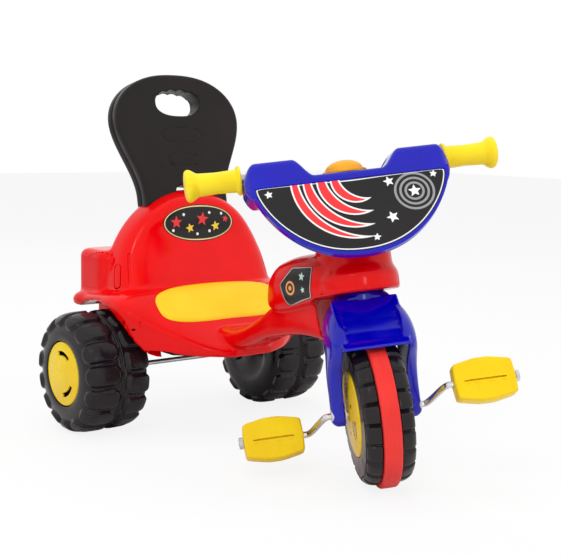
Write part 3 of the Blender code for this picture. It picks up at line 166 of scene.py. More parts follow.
for name, spot, size, power in (
    ("lamp_key", (-1.7, -1.3, 2.0), 1.3, 25),
    ("lamp_fill", (1.6, -1.8, 1.3), 1.6, 12),
    ("lamp_back", (0.6, 2.0, 2.0), 1.6, 14),
    ("lamp_top", (-0.2, 0.0, 2.6), 1.8, 16),
    ("lamp_strip", (-0.9, -2.4, 1.0), 0.22, 1.6),
    ("lamp_spark", (-1.6, -0.9, 1.9), 0.3, 1.5),
):
    lamp = bpy.data.objects.new(name, bpy.data.lights.new(name, "AREA"))
    lamp.data.shape = "DISK"
    lamp.data.size = size
    lamp.data.energy = power
    lamp.location = spot
    lamp.rotation_euler = (Vector((0, 0, 0.25)) - lamp.location).to_track_quat("-Z", "Y").to_euler()
    lamp.visible_glossy = size < 1
    scene.collection.objects.link(lamp)


# Red body
# A blow-moulded polypropylene shell in one piece: dome, trunk, skirt with wheel arches, neck, tank and
# steering head, 3 mm thick and open below. The mould leaves rounded valleys where the forms meet.
finish_group = bpy.data.node_groups.new("moulded_finish", "ShaderNodeTree")
for name, kind, way in (
    ("Place", "NodeSocketVector", "INPUT"),
    ("Colour", "NodeSocketColor", "INPUT"),
    ("Deep", "NodeSocketColor", "INPUT"),
    ("Smooth", "NodeSocketFloat", "INPUT"),
    ("Rough", "NodeSocketFloat", "INPUT"),
    ("Grain", "NodeSocketFloat", "INPUT"),
    ("Colour", "NodeSocketColor", "OUTPUT"),
    ("Roughness", "NodeSocketFloat", "OUTPUT"),
    ("Normal", "NodeSocketVector", "OUTPUT"),
):
    finish_group.interface.new_socket(name, in_out=way, socket_type=kind)
nodes = Nodes(finish_group)
given = nodes.add("NodeGroupInput").outputs
result = nodes.add("NodeGroupOutput").inputs
clouds = nodes.noise(given[0], 9.0, 3.0)
nodes.link(nodes.mix(nodes.ramp(clouds, 0.35, 0.7), given[2], given[1]), result[0])
wear = nodes.noise(given[0], 34.0, 5.0)
scuffed = nodes.ramp(wear, 0.45, 0.75)
spread = nodes.math("SUBTRACT", given[4], given[3])
nodes.link(nodes.math("MULTIPLY_ADD", scuffed, spread, given[3]), result[1])
grain = nodes.noise(given[0], 900.0, 2.0)
ripple = nodes.noise(given[0], 22.0, 1.0)
height = nodes.math("MULTIPLY_ADD", ripple, 6.0, grain)
bump = nodes.add("ShaderNodeBump", {"Strength": given[5], "Distance": 0.0002, "Height": height})
nodes.link(bump.outputs[0], result[2])


def moulded(name, colour, deep, smooth, rough, grain, shine=0.25, extra=None):
    """A moulded plastic: a cloudy colour, patchy gloss and fine grain, with room for painted masks."""
    material, nodes, output = new_material(name)
    place = nodes.place()
    values = {"Place": place, "Colour": (*colour, 1), "Deep": (*deep, 1), "Smooth": smooth,
            "Rough": rough, "Grain": grain}
    group = nodes.add("ShaderNodeGroup", node_tree=finish_group)
    for key, value in values.items():
        nodes.link(value, group.inputs[key])
    shader = nodes.add("ShaderNodeBsdfPrincipled", {
        "Base Color": group.outputs["Colour"],
        "Roughness": group.outputs["Roughness"],
        "Normal": group.outputs["Normal"],
        "Specular IOR Level": shine,
    })
    if extra:
        extra(nodes, shader, group)
    nodes.link(shader.outputs[0], output)
    return material


def circle(count):
    """Even angles round a full turn."""
    return 2 * pi * np.arange(count) / count


def bent(value, power):
    """A power that keeps the sign: sign(v) |v|^p."""
    return np.sign(value) * np.abs(value) ** power


def superellipse(half_x, half_y, power, count):
    """Points round an oval whose corners fill out as the power grows: |x|^p + |y|^p = 1, scaled."""
    t = 2 * pi * (np.arange(count) + 0.5) / count
    x = half_x * bent(np.cos(t), 2 / power)
    y = half_y * bent(np.sin(t), 2 / power)
    return np.stack([x, y], 1)


def smooth_rows(stations, count):
    """Reads a smooth curve (cubic Hermite, finite-difference slopes) through stations at even steps."""
    stations = np.array(sorted(stations), float)
    key = stations[:, 0]
    slope = np.gradient(stations, key, axis=0)
    at = np.linspace(key[0], key[-1], count)
    i = np.clip(np.searchsorted(key, at) - 1, 0, len(key) - 2)
    span = (key[i + 1] - key[i])[:, None]
    t = (at - key[i])[:, None] / span
    h00, h10 = 2 * t ** 3 - 3 * t ** 2 + 1, t ** 3 - 2 * t ** 2 + t
    h01, h11 = -2 * t ** 3 + 3 * t ** 2, t ** 3 - t ** 2
    return h00 * stations[i] + h10 * span * slope[i] + h01 * stations[i + 1] + h11 * span * slope[i + 1]


def skin(points, ring=False, ends=True):
    """A closed mesh over rows of closed loops: ring joins the last row to the first, ends caps them."""
    points = np.asarray(points, float)
    rows, columns = points.shape[:2]
    r = np.arange(rows if ring else rows - 1)[:, None]
    c = np.arange(columns)[None, :]
    r2, c2 = (r + 1) % rows, (c + 1) % columns
    quads = np.stack([r * columns + c, r * columns + c2, r2 * columns + c2, r2 * columns + c], -1)
    faces = quads.reshape(-1, 4).tolist()
    if ends and not ring:
        faces += [list(range(columns)), list(range((rows - 1) * columns, rows * columns))]
    mesh = bpy.data.meshes.new("skin")
    mesh.from_pydata(points.reshape(-1, 3).tolist(), [], faces)
    return mesh


def turned(profile, steps=64, ring=False):
    """Turns a profile of (radius, height) points about Z."""
    profile = np.array(profile, float)
    a = circle(steps)
    radius, height = np.maximum(profile[:, :1], 1e-5), np.repeat(profile[:, 1:], steps, 1)
    return skin(np.stack([radius * np.cos(a), radius * np.sin(a), height], -1), ring)


def rounded(points, radius, steps=5):
    """Rounds the corners of an open profile of (a, b) points with short curves."""
    points = [np.array(point, float) for point in points]
    out = [points[0]]
    for before, corner, after in zip(points, points[1:], points[2:]):
        reach = min(radius, np.linalg.norm(before - corner) / 2, np.linalg.norm(after - corner) / 2)
        start = corner + (before - corner) / np.linalg.norm(before - corner) * reach
        end = corner + (after - corner) / np.linalg.norm(after - corner) * reach
        for t in np.linspace(0, 1, steps):
            out.append((1 - t) ** 2 * start + 2 * t * (1 - t) * corner + t ** 2 * end)
    return out + [points[-1]]


def work(mesh, place=None):
    """A throwaway solid in the scene, facing outward."""
    if place is not None:
        mesh.transform(place)
    bm = bmesh.new()
    bm.from_mesh(mesh)
    bmesh.ops.recalc_face_normals(bm, faces=bm.faces)
    bm.to_mesh(mesh)
    bm.free()
    solid = bpy.data.objects.new("work", mesh)
    scene.collection.objects.link(solid)
    return solid


def bake(solid):
    """Turns an object's modifiers into its mesh."""
    graph = bpy.context.evaluated_depsgraph_get()
    mesh = bpy.data.meshes.new_from_object(solid.evaluated_get(graph))
    solid.modifiers.clear()
    solid.data = mesh
    return solid


def combine(target, tool, operation):
    modifier = target.modifiers.new("join", "BOOLEAN")
    modifier.operation = operation
    modifier.object = tool
    modifier.solver = "EXACT"
    bake(target)
    bpy.data.objects.remove(tool)
    return target


def cut(target, *tools):
    for tool in tools:
        combine(target, tool, "DIFFERENCE")
    return target


def gather(solids):
    """Puts several solids into one mesh, as they are."""
    bm = bmesh.new()
    for solid in solids:
        bm.from_mesh(solid.data)
        bpy.data.objects.remove(solid)
    mesh = bpy.data.meshes.new("gathered")
    bm.to_mesh(mesh)
    bm.free()
    return work(mesh)


def fused(solids, cell, passes):
    """Melts overlapping solids into one skin, with its creases rounded by a few smoothing passes."""
    solid = gather(solids)
    remesh = solid.modifiers.new("remesh", "REMESH")
    remesh.mode = "VOXEL"
    remesh.voxel_size = cell
    if passes:
        smooth = solid.modifiers.new("smooth", "SMOOTH")
        smooth.factor = 0.5
        smooth.iterations = passes
    return bake(solid)


def piece(name, mesh, place, finish, body, replaces=(), sharp=35):
    """A finished piece: its mesh in place, its material, and what it rides on and stands for."""
    made = work(mesh, place)
    made.name = name
    made.data.name = name
    made.data.materials.clear()
    made.data.materials.append(finish)
    made.data.shade_smooth()
    made.data.set_sharp_from_angle(angle=radians(sharp))
    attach(made, body)
    if replaces:
        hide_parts(*replaces)
    return made


def lift(solid):
    """Takes a throwaway solid's mesh and removes the solid."""
    mesh = solid.data
    bpy.data.objects.remove(solid)
    return mesh


def rod(radius, start, end, steps=32):
    return turned([(radius, start), (radius, end)], steps)


ALONG_X = Matrix.Rotation(pi / 2, 4, "Y")
HEAD_LINE = moved(0, -0.46, 0.102536) @ tilted(-13.84)


def level(outline, z):
    """A flat outline at height z."""
    return np.column_stack([outline, np.full(len(outline), z)])


def prism(outline, ends):
    """A solid with a (y, z) outline between two places along X."""
    return skin([[(x, y, z) for y, z in outline] for x in ends])


def dome(grow=0.0, count=128, rows=40):
    """Stacked ovals: half-width w(u) = W sqrt(1 - u^2.1), with a rounder back and a squarer front."""
    low = 0.2092 - grow / 4
    heights = low + (0.376 + grow - low) * (1 - (1 - np.linspace(0, 0.998, rows)) ** 1.8)
    rings = []
    for z in heights:
        u = max(z - 0.205, 0) / (0.171 + grow)
        side = (0.149 + grow) * sqrt(1 - u ** 2.1)
        flare = 0.0355 * max(0, 1 - (z - 0.205) / 0.11) ** 1.5
        back = superellipse(side, (0.045 + grow) * sqrt(1 - u ** 5), 2.0, count)
        face = superellipse(side, (0.0525 + grow + flare) * sqrt(1 - u ** 14), 4.5 - 0.4 * u, count)
        outline = np.where(back[:, 1:] > 0, back, face)
        rings.append(level(outline + (0, 0.019), z))
    return work(skin(rings))


def trunk(grow=0.0, count=160):
    """A square-shouldered block with a rounded top edge."""
    low = 0.2099 - grow / 4
    rows = [(low, 0.0), (0.24, 0.0)]
    rows += [(0.269 + 0.012 * sin(a), 0.012 * (1 - cos(a))) for a in np.linspace(0, pi / 2, 8)]
    rings = []
    for z, inset in rows:
        outline = superellipse(0.157 + grow - inset, 0.042 + grow - inset, 9, count)
        rings.append(level(outline + (0, 0.052), z + (grow if z > low else 0)))
    return work(skin(rings))


def ribbed_hull(stations, power, grow, count, rows, drop=None):
    """Upright ovals along Y, each widening from its bottom to its top."""
    down = grow if drop is None else drop
    table = smooth_rows(stations, rows)
    table[0, 0] -= grow
    table[-1, 0] += grow
    rings = []
    for y, above, below, top, bottom in table:
        high, low = top + grow, bottom - down
        section = superellipse(1.0, (high - low) / 2, power, count)
        share = section[:, 1] / (high - low) + 0.5
        x = section[:, 0] * (below + (above - below) * share + grow)
        rings.append(np.column_stack([x, np.full(count, y), section[:, 1] + (high + low) / 2]))
    return work(skin(rings))


SKIRT = (
    (0.094, 0.172, 0.128, 0.208, 0.142),
    (0.082, 0.183, 0.136, 0.215, 0.13),
    (0.04, 0.185, 0.144, 0.219, 0.129),
    (-0.01, 0.185, 0.15, 0.225, 0.126),
    (-0.05, 0.185, 0.154, 0.228, 0.1235),
    (-0.075, 0.182, 0.157, 0.222, 0.123),
    (-0.092, 0.173, 0.156, 0.21, 0.1235),
    (-0.108, 0.155, 0.143, 0.196, 0.124),
    (-0.128, 0.129, 0.12, 0.179, 0.126),
    (-0.15, 0.098, 0.096, 0.162, 0.128),
    (-0.17, 0.064, 0.068, 0.148, 0.13),
    (-0.184, 0.03, 0.036, 0.139, 0.13),
)
NOSE = (
    (-0.08, 0.058, 0.052, 0.205, 0.134),
    (-0.118, 0.052, 0.048, 0.178, 0.131),
    (-0.16, 0.044, 0.041, 0.17, 0.135),
    (-0.2, 0.039, 0.036, 0.18, 0.15),
    (-0.24, 0.037, 0.034, 0.203, 0.168),
    (-0.275, 0.036, 0.032, 0.23, 0.177),
    (-0.31, 0.036, 0.032, 0.25, 0.184),
    (-0.4, 0.036, 0.032, 0.275, 0.186),
)
TANK = (
    (-0.266, 0.03, 0.034, 0.252, 0.222),
    (-0.275, 0.043, 0.046, 0.269, 0.216),
    (-0.29, 0.051, 0.053, 0.285, 0.215),
    (-0.318, 0.056, 0.058, 0.299, 0.221),
    (-0.355, 0.057, 0.06, 0.308, 0.232),
    (-0.405, 0.052, 0.058, 0.312, 0.245),
    (-0.43, 0.042, 0.046, 0.31, 0.252),
)


def head(grow=0.0, steps=96):
    """The upright steering drum with the wider collar at its foot."""
    radius, collar = 0.051 + grow, 0.0575 + grow
    profile = [(0, 0.1568 - grow), (collar, 0.1568 - grow), (collar, 0.186), (radius, 0.195),
            (radius, 0.238 + grow), (0, 0.238 + grow)]
    return work(turned(rounded(profile, 0.008), steps), HEAD_LINE)


def arches(grow=0.0):
    """The two rooms that the rear wheels turn in, round above and open behind."""
    reach, top = 0.11 + grow, 0.19 + grow
    turns = np.linspace(1.5 * pi, np.arcsin((top - 0.095) / reach), 72)
    outline = [(reach * cos(a), 0.095 + reach * sin(a)) for a in turns]
    outline += [(0.3, top), (0.3, 0.095 - reach)]
    rooms = []
    for side in (-1, 1):
        ends = (side * (0.118 - grow), side * 0.3)
        rooms.append(work(prism(outline, ends)))
    return gather(rooms)


def body_parts(grow, fine, drop=None):
    """The body's six forms as closed solids, with the rooms for the wheels and the fork cut out."""
    scale = 1 if fine else 3
    rear = [dome(grow, 128 // scale, 40 // scale), trunk(grow, 160 // scale),
            ribbed_hull(SKIRT, 5.0, grow, 120 // scale, 56 // scale, drop)]
    front = [ribbed_hull(NOSE, 4.0, grow, 72 // scale, 40 // scale),
            ribbed_hull(TANK, 3.6, grow, 96 // scale, 40 // scale), head(grow, 96 // scale)]
    for solid in rear:
        cut(solid, arches(-grow))
    for solid in front:
        cut(solid, work(rod(0.064 - grow, -0.02, 0.1608 - grow, 64), HEAD_LINE))
    return rear + front


def pocket(spot, normal, up, half_width, half_height, depth, island=0.0):
    """A shallow stadium sunk square to the surface; with an island it is a groove around one."""
    out = Vector(normal).normalized()
    side = Vector(up).cross(out).normalized()
    turn = Matrix([side, out.cross(side), out]).transposed().to_4x4()
    a = np.linspace(0, 2 * pi, 25)[:-1]
    loops = []
    for inset in ((0.0, island) if island else (0.0,)):
        width = half_width - inset
        rise = np.where(np.sin(a) >= 0, 1.0, -1.0) * (half_height - half_width)
        loops.append(np.column_stack([width * np.cos(a), width * np.sin(a) + rise]))
    rows = [level(loops[0], z) for z in (-depth, 0.012)]
    rows += [level(loop, z) for loop in loops[1:] for z in (0.012, -depth)]
    return work(skin(rows, ring=bool(island)), Matrix.Translation(spot) @ turn)


MARKS = (
    ((-0.1418, -0.014, 0.2436), (-0.96, -0.24, 0.15), (0.17, 0.26, 0.95), 0.0085, 0.0205, 0.0016, 0.0022),
    ((-0.1306, -0.0296, 0.2575), (-0.69, -0.64, 0.35), (0.16, 0.32, 0.93), 0.0026, 0.025, 0.0016),
    ((-0.1686, -0.0811, 0.1785), (-0.8, -0.52, 0.25), (0.0, 0.3, 0.9), 0.0018, 0.006, 0.0012),
    ((-0.1602, -0.0936, 0.1719), (-0.72, -0.62, 0.25), (-0.6, 0.7, 0.0), 0.0014, 0.0034, 0.0012),
    ((-0.1543, -0.1041, 0.1806), (-0.66, -0.7, 0.25), (0.0, 0.3, 0.9), 0.0018, 0.006, 0.0012),
)
red = moulded("red_plastic", (0.86, 0.0, 0.001), (0.76, 0.0, 0.001), 0.13, 0.22, 0.05, shine=0.22)
shell = fused(body_parts(0.0, True), 0.0024, 12)
inside = fused(body_parts(-0.003, False, 0.02), 0.005, 0)
posts = [work(rod(0.0195, 0.15, 0.248), HEAD_LINE)]
bores = [work(rod(0.0153, 0.15, 0.248), HEAD_LINE)]
for x, y in ((-0.085, 0.07), (0.085, 0.07), (-0.072, -0.115), (0.072, -0.115)):
    posts.append(work(rod(0.0055, 0.1383, 0.376, 16), moved(x, y, 0)))
    bores.append(work(rod(0.0021, 0.134, 0.152, 12), moved(x, y, 0)))
cut(shell, cut(inside, gather(posts)), gather(bores))
pockets = []
teeth = [(-0.156 + 0.0028 * i, 0.0516 - 0.0057 * i, 0.2703 + 0.0004 * i) for i in range(8)]
for side in (-1, 1):
    mirror = Matrix.Diagonal((-side, 1, 1, 1))
    for spot, normal, up, *sizes in MARKS:
        pockets.append(pocket(mirror @ Vector(spot), mirror @ Vector(normal), mirror @ Vector(up), *sizes))
    for spot in teeth:
        out = mirror @ Vector((-0.75, 0, 0.66))
        pockets.append(pocket(mirror @ Vector(spot), out, (0, 1, 0), 0.0013, 0.0018, 0.0022))
cut(shell, gather(pockets))
body_shell = piece("red_body", lift(shell), BODY, red, "body", ["body_shell"], 50)


# Seat pad
# A thin yellow polyethylene insert that lies on the seat in front of the dome, 4 mm thick with a rounded
# edge. It is pressed over four moulded studs that don't show.
yellow_pad = moulded("pad_yellow", (0.96, 0.66, 0.02), (0.92, 0.58, 0.01), 0.3, 0.45, 0.1)


def laid_sheet(outline, rings, drop, target, turn):
    """Rings of points from an outline to its middle, laid on a target along one direction.
    Each ring is the outline drawn in by its share, read from a flat sheet above the surface."""
    outline = np.asarray(outline, float)
    middle = outline.mean(0)
    shares = np.linspace(1, 0.02, rings)
    flat = middle + (outline - middle) * shares[:, None, None]
    points = np.concatenate([flat, np.full((*flat.shape[:2], 1), drop)], -1)
    mesh = skin(points, ends=False)
    sheet = bpy.data.objects.new("work", mesh)
    scene.collection.objects.link(sheet)
    sheet.matrix_world = turn
    wrap = sheet.modifiers.new("lay", "SHRINKWRAP")
    wrap.wrap_method = "PROJECT"
    wrap.use_project_z = True
    wrap.use_negative_direction = True
    wrap.use_positive_direction = False
    wrap.target = target
    bpy.context.view_layer.update()
    bake(sheet)
    laid = np.empty(len(sheet.data.vertices) * 3)
    sheet.data.vertices.foreach_get("co", laid)
    bpy.data.objects.remove(sheet)
    return laid.reshape(points.shape), shares


a = circle(160)
x = 0.121 * bent(np.cos(a), 0.7)
y = -0.0935 + 0.0325 * bent(np.sin(a), 0.75) - 0.0055 * np.abs(np.cos(a))
laid, shares = laid_sheet(np.stack([x, y], 1), 26, 0.3, body_shell, BODY)
edge = np.clip((1 - shares) / 0.1, 0, 1)
top = laid.copy()
top[..., 2] += (0.0012 + 0.0026 * np.sqrt(1 - (1 - edge) ** 2))[:, None]
foot = laid.copy()
foot[..., 2] += 0.0004
pad = skin(np.concatenate([foot[::-1], top]))
piece("yellow_seat_pad", pad, BODY, yellow_pad, "body", ["seat_pad"], 60)


# Backrest
# One black blow-free moulding: a 4 mm face with a deep rim behind it, two ridges round its side, a handle
# hole with four finger hollows and two pressed ovals. Two tongues plug it into the dome.
black = moulded("black_plastic", (0.013, 0.008, 0.008), (0.008, 0.005, 0.005), 0.32, 0.46, 0.26)
BACK = moved(0, 0.019, 0.366) @ tilted(-12)


def back_outline(inset, count):
    """The backrest's edge, drawn in by inset: a straight foot, swelling sides and a round top."""
    top, shoulder, foot, belly = 0.201 - inset, 0.119 - inset, 0.08 - inset, 0.12462
    z = np.linspace(-0.018 + inset, belly, count)
    share = np.clip(z, 0, None) / belly
    side = np.column_stack([foot + (shoulder - foot) * (3 * share ** 2 - 2 * share ** 3), z])
    a = np.linspace(0, pi / 2, count)[1:]
    crown = np.column_stack([shoulder * np.cos(a) ** 0.85, belly + (top - belly) * np.sin(a)])
    return np.concatenate([side, crown])


def spread(points, count):
    """Even steps along an open line of points."""
    points = np.asarray(points, float)
    run = np.concatenate([[0], np.cumsum(np.linalg.norm(np.diff(points, axis=0), axis=1))])
    at = np.linspace(0, run[-1], count)
    return np.stack([np.interp(at, run, points[:, k]) for k in range(points.shape[1])], 1)


def back_ring(inset, count=240):
    """The whole edge as a closed ring that starts under the foot's middle and has its relief notch."""
    right = back_outline(inset, 60)
    low = right[0, 1]
    notch = [(0.0, 0.016), (0.01, 0.0155), (0.017, 0.013), (0.0212, 0.007), (0.0222, low)]
    foot = spread(np.array(notch) + (0, inset), 28)
    half = np.concatenate([foot, spread(np.concatenate([[(0.0242, low)], [right[0] - (0.004, 0)]]), 10),
            spread(right, count // 2 - 38)])
    left = half[::-1] * (-1, 1)
    return np.concatenate([half, left[1:-1]])


def hole_ring(grow, count):
    """The handle hole: an oval whose upper edge has four finger hollows."""
    t = -pi / 2 + circle(count)
    x = (0.043 + grow) * bent(np.cos(t), 2 / 2.4)
    z = (0.0215 + grow) * bent(np.sin(t), 2 / 2.4)
    upper = np.clip(np.sin(t), 0, 1) ** 0.5
    z += upper * 0.0022 * (np.abs(np.sin(x / 0.037 * 2 * pi)) - 0.75) * (np.abs(x) < 0.037)
    return np.column_stack([x, z + 0.153])


def upright(outline, y):
    """An (x, z) outline stood up at depth y."""
    return np.column_stack([outline[:, 0], np.full(len(outline), y), outline[:, 1]])


count = len(back_ring(0.0))
half = 0.0155
rows = []
for grow, y in ((2.2, -half), (1.0, -half + 0.0004), (0.3, -half + 0.0012), (0, -half + 0.003),
        (0, half - 0.001), (0.8, half), (3.2, half), (4, half - 0.001), (4, -half + 0.006),
        (5, -half + 0.004)):
    ring = hole_ring(grow / 1000, count)
    rows.append(upright(ring, y))
start, stop = hole_ring(0.005, count), back_ring(0.006)
for share in np.linspace(0.15, 0.9, 6):
    ring = start + (stop - start) * share
    rows.append(upright(ring, -half + 0.004))
for inset, y in ((5, -half + 0.004), (4, -half + 0.005), (3.6, half - 0.001), (3.0, half), (1.2, half),
        (0.3, half - 0.0008), (0, half - 0.0025), (0, 0.0045), (0.5, 0.0035), (1.6, 0.0025),
        (1.7, 0.0005), (0.6, -0.0005), (0, -0.0015), (0, -half + 0.0055), (0.4, -half + 0.0035),
        (1.3, -half + 0.0018), (2.6, -half + 0.0007), (4.0, -half + 0.0002), (5.5, -half)):
    ring = back_ring(inset / 1000)
    rows.append(upright(ring, y))
start, stop = back_ring(0.0055), hole_ring(0.0024, count)
for share in np.linspace(0.03, 0.97, 48):
    ring = start + (stop - start) * share
    y = np.full(count, -half)
    for place, wide, tall, deep in ((0.0985, 0.04, 0.0125, 0.0013), (0.058, 0.032, 0.0105, 0.0012)):
        away = np.sqrt((ring[:, 0] / wide) ** 2 + ((ring[:, 1] - place) / tall) ** 2)
        y += deep * np.exp(-((away - 1) / 0.055) ** 2)
    rows.append(upright(ring, y))
back = work(skin(rows, ring=True), BACK)
cut(back, dome(0.0003, 96, 40))
tongues = []
for side in (-1, 1):
    outline = superellipse(0.015, 0.006, 8, 24) + (side * 0.052, 0)
    tongues.append(work(skin([level(outline, z) for z in (-0.034, -0.02, 0.012)]), BACK))
combine(back, gather(tongues), "UNION")
piece("black_backrest", lift(back), BODY, black, "body", ["backrest"], 40)


# Rear wheels
# Two blown black polyethylene wheels, 190 mm across and 109 mm wide, in one skin. Fifteen pillow lugs run
# round each shoulder, those of the inner row half a step on, with three thin ribs between the rows.
LUGS = 15
tyre = moulded("black_tyre", (0.013, 0.009, 0.011), (0.008, 0.005, 0.007), 0.2, 0.36, 0.18, shine=0.32)


def inside_box(along, across, half_along, half_across, corner):
    """Distance into a box with round corners:
    corner - |max(q, 0)| - min(max(q), 0), q = |p| - half + corner."""
    q = np.abs(along) - half_along + corner
    r = np.abs(across) - half_across + corner
    return corner - np.hypot(np.maximum(q, 0), np.maximum(r, 0)) - np.minimum(np.maximum(q, r), 0)


def bump_field(along, across, half_along, half_across, soft, corner=0.003):
    """A pillow: one inside a round-cornered box and falling smoothly to zero at its edge."""
    field = np.clip(inside_box(along, across, half_along, half_across, corner) / soft, 0, 1)
    return field * field * (3 - 2 * field)


def profile_rows(points, step):
    """A finely stepped line through profile points, with its outward normals and run length."""
    line = spread(rounded(points, 0.006, 7), max(int(sum(
        np.linalg.norm(np.subtract(b, a)) for a, b in zip(points, points[1:])) / step), 2))
    ahead = np.gradient(line, axis=0)
    ahead /= np.linalg.norm(ahead, axis=1)[:, None]
    run = np.concatenate([[0], np.cumsum(np.linalg.norm(np.diff(line, axis=0), axis=1))])
    return line, np.stack([ahead[:, 1], -ahead[:, 0]], 1), run


def around(profile, columns, lift_along=None):
    """Points of a profile of (x, r) rows turned about X; columns start at the wheel's foot."""
    a = circle(columns)
    x = np.repeat(profile[:, :1], columns, 1)
    r = np.repeat(profile[:, 1:2], columns, 1)
    if lift_along is not None:
        normal, field = lift_along
        x = x + normal[:, :1] * field
        r = r + normal[:, 1:2] * field
    return np.stack([x, r * np.sin(a), -r * np.cos(a)], -1)


def rear_wheel_skin():
    """The tread turned about X, each point p raised along its normal n: p + n h(run, angle)."""
    columns = LUGS * 26
    a = circle(columns)
    tread = [(0.0545, 0.06), (0.0535, 0.068), (0.0505, 0.0775), (0.044, 0.0855), (0.033, 0.0888),
            (0.015, 0.0893), (-0.015, 0.0893), (-0.036, 0.0888), (-0.046, 0.0855), (-0.0515, 0.0775),
            (-0.054, 0.068), (-0.0545, 0.06)]
    line, normal, run = profile_rows(tread, 0.0012)
    x, r = line[:, :1], line[:, 1:]
    pitch = 2 * pi / LUGS
    near = (a + pitch / 2) % pitch - pitch / 2
    far = a % pitch - pitch / 2
    middle = np.interp(0.026, line[::-1, 0], run[::-1])
    across = run[:, None] - middle
    outer = bump_field(near[None] * 0.09, across + 0.004, 0.0178, 0.0305, 0.0058, 0.015)
    crease = inside_box(near[None] * 0.09, across - 0.002, 0.0178, 0.0265, 0.015)
    crease = np.exp(-((crease - 0.0062) / 0.0011) ** 2)
    middle = np.interp(-0.03, line[::-1, 0], run[::-1])
    across = run[:, None] - middle
    inner = bump_field(far[None] * 0.09, across, 0.0172, 0.022, 0.0058, 0.011)
    field = 0.0057 * np.maximum(outer, inner) - 0.0007 * crease
    ribs = np.zeros_like(x)
    for spot in (0.0015, -0.0025, -0.0065):
        ribs = np.maximum(ribs, np.clip(1 - np.abs(x - spot) / 0.0012, 0, 1))
    field = np.maximum(field, 0.0014 * ribs)
    reach = np.clip(np.hypot(r + normal[:, 1:] * field, 0), None, 0.0949) - r
    field = np.where(normal[:, 1:] > 0.2, np.minimum(field, reach / np.maximum(normal[:, 1:], 0.2)), field)
    tread_rows = around(line, columns, (normal, field))
    face = around(np.array([(0.047, 0.0043), (0.047, 0.0505), (0.0472, 0.0513), (0.0476, 0.0515),
            (0.0525, 0.0517), (0.0534, 0.052), (0.0541, 0.0528), (0.0545, 0.0541),
            (0.0545, 0.057)]), columns)
    back = around(np.array([(-0.0545, 0.056), (-0.0545, 0.05), (-0.0535, 0.048), (-0.053, 0.044),
            (-0.053, 0.02), (-0.054, 0.018), (-0.0545, 0.016),
            (-0.0545, 0.0043)]), columns)
    return skin(np.concatenate([face, tread_rows, back]), ring=True)


FLIP = Matrix.Rotation(pi, 4, "Z")
SIDES = {"right": FLIP, "left": Matrix.Identity(4)}
TRACK_HALF = 0.1785
HUBS = {"right": BODY @ moved(-TRACK_HALF, 0, WHEEL_HEIGHT) @ FLIP,
        "left": BODY @ moved(TRACK_HALF, 0, WHEEL_HEIGHT)}
for name, place in HUBS.items():
    piece(f"blown_wheel_{name}", rear_wheel_skin(), place, tyre, f"rear_wheel_{name}",
          [f"rear_wheel_{name}"], 50)


# Rear hub caps
# Yellow snap-in discs, 102 mm across, a little domed, with a stepped rim, a small centre boss and two
# curved slots that show the dark wheel behind.
CAP_SEAT = 0.0472
yellow = moulded("yellow_plastic", (0.93, 0.66, 0.004), (0.86, 0.56, 0.003), 0.26, 0.42, 0.12)
for name, hub in HUBS.items():
    profile = rounded([(0.0001, 0.0042), (0.0106, 0.0042), (0.0106, 0.0003), (0.02, 0.0003),
            (0.0215, 0.0065), (0.04, 0.0055), (0.043, 0.0003), (0.05, 0.0003),
            (0.05, 0.0058), (0.048, 0.007), (0.0462, 0.007), (0.0455, 0.0062),
            (0.036, 0.0082), (0.02, 0.0094), (0.008, 0.0098), (0.0072, 0.01),
            (0.0062, 0.0092), (0.0001, 0.009)], 0.0012, 4)
    cap = work(turned(profile, 120), ALONG_X)
    slots = []
    for middle in (170, 35):
        a = np.radians(middle + np.linspace(-30, 30, 24))
        outline = np.concatenate([np.stack([r * np.cos(t), r * np.sin(t)], 1)
                for r, t in ((0.029, a), (0.0362, a[::-1]))])
        slots.append(work(skin([level(outline, z) for z in (-0.01, 0.02)]), ALONG_X))
    cut(cap, gather(slots))
    place = hub @ moved(CAP_SEAT, 0, 0)
    piece(f"yellow_cap_{name}", lift(cap), place, yellow, f"rear_wheel_{name}",
          [f"rear_hub_cap_{name}"], 30)


# Front wheel
# A blown black wheel whose tread is a row of 22 pillow blocks on each side of a seat for the red band.
# Its hub is a tube on the crank rod, and a yellow disc closes each side.
def axes(origin, x_axis, z_axis):
    """A frame with this origin, X direction and Z direction."""
    x, z = Vector(x_axis).normalized(), Vector(z_axis).normalized()
    frame_of = Matrix((x, z.cross(x), z)).transposed().to_4x4()
    frame_of.translation = Vector(origin)
    return frame_of


steer, spin = joints["steering_turn"], joints["front_wheel_spin"]
STEER = axes(steer["pos_m"], spin["axis"], steer["axis"])
TRAIL = 0.013
WHEEL = STEER @ moved(0, -TRAIL, 0) @ tilted(65)
BLOCKS = 22
columns = BLOCKS * 18
a = circle(columns)
pitch = 2 * pi / BLOCKS
tread = [(0.033, 0.06), (0.033, 0.083), (0.0322, 0.0868), (0.0295, 0.092), (0.024, 0.0955),
        (0.0165, 0.097), (0.0123, 0.097)]
line, normal, run = profile_rows(tread, 0.0009)
field = bump_field(((a + pitch / 2) % pitch - pitch / 2)[None] * 0.094,
        (run - np.interp(0.0945, line[:, 1], run) - 0.002)[:, None], 0.0128, 0.0135, 0.0042)
sink = np.clip((run - np.interp(0.084, line[:, 1], run)) / 0.003, 0, 1)[:, None]
field = 0.0015 * field - 0.0034 * sink * (1 - np.clip(field * 1.6, 0, 1))
right = around(line, columns, (normal, field))
left = around(line * (-1, 1), columns, (normal * (-1, 1), np.roll(field, 9, 1)))
seat = around(np.array([(0.0123, 0.0945), (-0.0123, 0.0945)]), columns)
hub = around(np.array([(0.0277, 0.0049), (0.0277, 0.059), (0.028, 0.0594), (0.032, 0.0596),
        (0.0328, 0.0598)]), columns)
